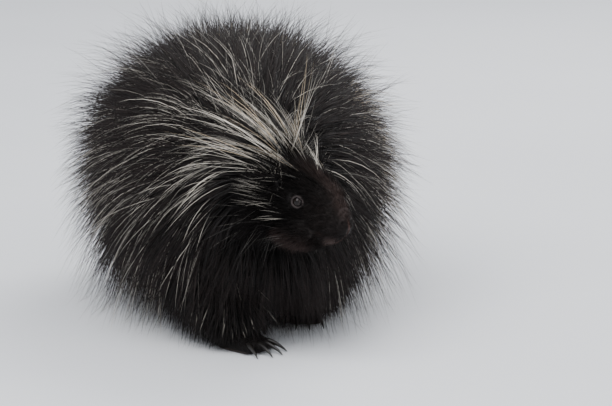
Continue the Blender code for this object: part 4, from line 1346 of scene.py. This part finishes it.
def make_quill(sides=5):
    """A slim spindle one unit long and about 2 mm thick, pale with a dark tip."""
    bm = bmesh.new()
    tone = bm.verts.layers.float_color.new("Tone")
    patch = bm.loops.layers.uv.new("Patch")
    loops = []
    for along, radius, colour in QUILL_ROWS:
        ring = []
        for i in range(sides):
            turn = math.tau * i / sides
            vertex = bm.verts.new((radius * math.cos(turn), radius * math.sin(turn), along))
            vertex[tone] = (*colour, 1.0)
            ring.append(vertex)
        loops.append(ring)
    tip = bm.verts.new((0.0, 0.0, 1.0))
    tip[tone] = (*BLACK, 1.0)
    join_spike(bm, loops, tip)
    for face in bm.faces:
        for loop in face.loops:
            loop[patch].uv = (loop.vert.co.x * 1.2, loop.vert.co.z * 0.003 - 0.0015)
    mesh = mesh_from(bm, "quill")
    mesh.shade_smooth()
    return new_object("quill", mesh)


def carrier(form, s_range, angles, lift, length, share=1.0, rings=24, sides=24):
    """A strip of the form's skin, with the quills' way, length and place on the flat map."""
    turns = np.radians(np.linspace(*angles, sides))
    s, angle = np.meshgrid(np.linspace(*s_range, rings), turns, indexing="ij")
    s, angle = s.ravel(), angle.ravel()
    place, out, back = form.surface(s, angle)
    lie = along_skin(back if form is body else -back, out)
    way = unit(lie * math.cos(math.radians(lift)) + out * math.sin(math.radians(lift)))
    begun = smooth(0.0, 0.25, (s - s_range[0]) / (s_range[1] - s_range[0]))
    edge = share * np.minimum(begun, np.sin(angle) ** 2)
    room = np.where(way > 0, BOX_HIGH - place, BOX_LOW - place)
    room = room / np.where(np.abs(way) < 1e-6, 1e-6, way)
    length = np.clip(room.min(1) / QUILL_SCALES[1], 0.008, length)
    faces = []
    for i in range(rings - 1):
        for j in range(sides - 1):
            k = i * sides + j
            faces.append((k, k + 1, k + sides + 1, k + sides))
    return place, faces, way, edge, length, form.place_on_map(s, angle)


def join_carriers(pieces):
    """One mesh of all the strips, with what each quill needs as attributes."""
    places, faces, ways, edges, lengths, maps = [], [], [], [], [], []
    first = 0
    for place, face, way, edge, length, on_map in pieces:
        faces += [tuple(first + i for i in corner) for corner in face]
        stores = (places, ways, edges, lengths, maps)
        for store, value in zip(stores, (place, way, edge, length, on_map)):
            store.append(value)
        first += len(place)
    mesh = bpy.data.meshes.new("quills")
    mesh.from_pydata(np.concatenate(places).tolist(), [], faces)
    root = np.c_[np.concatenate(maps), np.zeros(first)]
    for name, kind, field, values in (
        ("Way", "FLOAT_VECTOR", "vector", np.concatenate(ways)),
        ("Thick", "FLOAT", "value", np.concatenate(edges)),
        ("Long", "FLOAT", "value", np.concatenate(lengths)),
        ("Root", "FLOAT_VECTOR", "vector", root),
    ):
        attribute = mesh.attributes.new(name, kind, "POINT")
        attribute.data.foreach_set(field, values.ravel())
    return new_object("quills", mesh)


# %% [markdown]
# ## The quills' node tree
# Copies in a loop would work too. A node tree keeps their number, spread and seed as named
# inputs that a reader can change, and the density follows an attribute painted on the skin.
# Each quill takes its place on the flat map from the skin, and its own patch round that.

# %% Quills by Geometry Nodes


def quill_tree():
    """The node tree, and its inputs by name."""
    tree = bpy.data.node_groups.new("quills_on_skin", "GeometryNodeTree")
    sockets = {}
    for name, kind in (("Geometry", "Geometry"), ("Quill", "Object"), ("Per Square Metre", "Float"),
                       ("Seed", "Int"), ("Scatter", "Float"), ("Material", "Material")):
        kind = "NodeSocket" + kind
        sockets[name] = tree.interface.new_socket(name=name, in_out="INPUT", socket_type=kind)
    tree.interface.new_socket(name="Geometry", in_out="OUTPUT", socket_type="NodeSocketGeometry")
    given = tree.nodes.new("NodeGroupInput")
    result = tree.nodes.new("NodeGroupOutput")

    def named(name, kind):
        node = tree.nodes.new("GeometryNodeInputNamedAttribute")
        node.data_type = kind
        node.inputs["Name"].default_value = name
        return node

    thick = tree.nodes.new("ShaderNodeMath")
    thick.operation = "MULTIPLY"
    link(tree, given, "Per Square Metre", thick, 0)
    link(tree, named("Thick", "FLOAT"), "Attribute", thick, 1)
    points = tree.nodes.new("GeometryNodeDistributePointsOnFaces")
    link(tree, given, "Geometry", points, "Mesh")
    link(tree, thick, 0, points, "Density")
    link(tree, given, "Seed", points, "Seed")

    stray = tree.nodes.new("FunctionNodeRandomValue")
    stray.data_type = "FLOAT_VECTOR"
    stray.inputs[0].default_value = (-1.0, -1.0, -1.0)
    stray.inputs[1].default_value = (1.0, 1.0, 1.0)
    scaled = tree.nodes.new("ShaderNodeVectorMath")
    scaled.operation = "SCALE"
    link(tree, stray, 0, scaled, 0)
    link(tree, given, "Scatter", scaled, "Scale")
    way = tree.nodes.new("ShaderNodeVectorMath")
    way.operation = "ADD"
    link(tree, named("Way", "FLOAT_VECTOR"), "Attribute", way, 0)
    link(tree, scaled, 0, way, 1)
    turn = tree.nodes.new("FunctionNodeAlignRotationToVector")
    turn.axis = "Z"
    link(tree, way, 0, turn, "Vector")

    vary = tree.nodes.new("FunctionNodeRandomValue")
    vary.data_type = "FLOAT"
    vary.inputs[2].default_value, vary.inputs[3].default_value = QUILL_SCALES
    long = tree.nodes.new("ShaderNodeMath")
    long.operation = "MULTIPLY"
    link(tree, vary, 1, long, 0)
    link(tree, named("Long", "FLOAT"), "Attribute", long, 1)
    size = tree.nodes.new("ShaderNodeCombineXYZ")
    link(tree, vary, 1, size, "X")
    link(tree, vary, 1, size, "Y")
    link(tree, long, 0, size, "Z")

    quill = tree.nodes.new("GeometryNodeObjectInfo")
    link(tree, given, "Quill", quill, "Object")
    place = tree.nodes.new("GeometryNodeInstanceOnPoints")
    link(tree, points, "Points", place, "Points")
    link(tree, quill, "Geometry", place, "Instance")
    link(tree, turn, "Rotation", place, "Rotation")
    link(tree, size, "Vector", place, "Scale")
    real = tree.nodes.new("GeometryNodeRealizeInstances")
    link(tree, place, "Instances", real, "Geometry")

    spot = tree.nodes.new("ShaderNodeVectorMath")
    spot.operation = "ADD"
    link(tree, named("Root", "FLOAT_VECTOR"), "Attribute", spot, 0)
    link(tree, named("Patch", "FLOAT_VECTOR"), "Attribute", spot, 1)
    store = tree.nodes.new("GeometryNodeStoreNamedAttribute")
    store.data_type = "FLOAT2"
    store.domain = "CORNER"
    store.inputs["Name"].default_value = "OFBake"
    link(tree, real, "Geometry", store, "Geometry")
    link(tree, spot, 0, store, "Value")
    last = store
    for name in ("Patch", "Root", "Way", "Thick", "Long"):
        drop = tree.nodes.new("GeometryNodeRemoveAttribute")
        drop.inputs["Name"].default_value = name
        link(tree, last, "Geometry", drop, "Geometry")
        last = drop
    finish = tree.nodes.new("GeometryNodeSetMaterial")
    link(tree, last, "Geometry", finish, "Geometry")
    link(tree, given, "Material", finish, "Material")
    link(tree, finish, "Geometry", result, "Geometry")
    return tree, sockets


quill = make_quill()
quills = join_carriers((
    carrier(body, (0.5, 3.7), (25, 155), 44, 0.086),
    carrier(tail, (1.0, 5.4), (5, 175), 26, 0.048, 0.5),
))
nodes = quills.modifiers.new("quills", "NODES")
nodes.node_group, sockets = quill_tree()
for name, value in (("Quill", quill), ("Per Square Metre", 38000.0 * FEW), ("Seed", 5),
                    ("Scatter", 0.22), ("Material", pale_hair)):
    nodes[sockets[name].identifier] = value
quills.update_tag()
keep_evaluated(quills)
bpy.data.objects.remove(quill)
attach(quills, "root")
coat_total += sum(len(face.vertices) - 2 for face in quills.data.polygons)
print("quills:", len(quills.data.polygons), "faces, map", quills.data.uv_layers[0].name)

# %% [markdown]
# ## Stage, light and camera
# A plain pale floor, a large soft lamp from above and ahead on the animal's right, weaker ones
# from behind and ahead on its left, and a long lens from the photograph's angle: a little to the
# animal's right and a little above it.

# %% Stage, light and camera
HALF, LEVEL = 9, -0.0006
corners = [(x * HALF, y * HALF, LEVEL) for x, y in ((-1, -1), (1, -1), (1, 1), (-1, 1))]
mesh = bpy.data.meshes.new("floor")
mesh.from_pydata(corners, [], [(0, 1, 2, 3)])
floor_finish, tree, shader = new_material("pale_floor", 0.8)
add_ramp(tree, noise_node(tree, 2.0), shader, (0.84, 0.85, 0.88), (0.92, 0.93, 0.96))
mesh.materials.append(floor_finish)
floor = new_object("floor", mesh)

world = bpy.data.worlds.new("studio")
bpy.context.scene.world = world
world.use_nodes = True
sky = world.node_tree.nodes["Background"]
sky.inputs["Color"].default_value = (0.90, 0.94, 1.0, 1.0)
sky.inputs["Strength"].default_value = 0.75
LIT = Vector((0, 0, 0.15))


def lamp(name, place, size, power):
    light = bpy.data.lights.new(name, "AREA")
    light.size = size
    light.energy = power
    obj = new_object(name, light)
    obj.location = place
    obj.rotation_euler = (LIT - Vector(place)).to_track_quat("-Z", "Y").to_euler()


lamp("key", (-1.2, -1.8, 2.6), 2.2, 95)
lamp("rim", (1.6, 1.6, 2.2), 2.0, 60)
lamp("fill", (1.8, -2.2, 1.0), 2.0, 22)

azimuth, elevation, distance = math.radians(-10), math.radians(11), 4.0
target = shift + Vector((0.080, 0.0, 0.120))
level = math.cos(elevation)
back = Vector((math.sin(azimuth) * level, -math.cos(azimuth) * level, math.sin(elevation)))
camera = bpy.data.cameras.new("camera")
camera.lens = 204.6
camera.sensor_width = 36.0
camera.clip_end = 60.0
viewer = new_object("camera", camera)
viewer.location = target + back * distance
viewer.rotation_euler = (-back).to_track_quat("-Z", "Y").to_euler()
bpy.context.scene.camera = viewer
print("camera", [round(v, 3) for v in viewer.location])

# %% Finish
print("triangles in the coat:", coat_total)
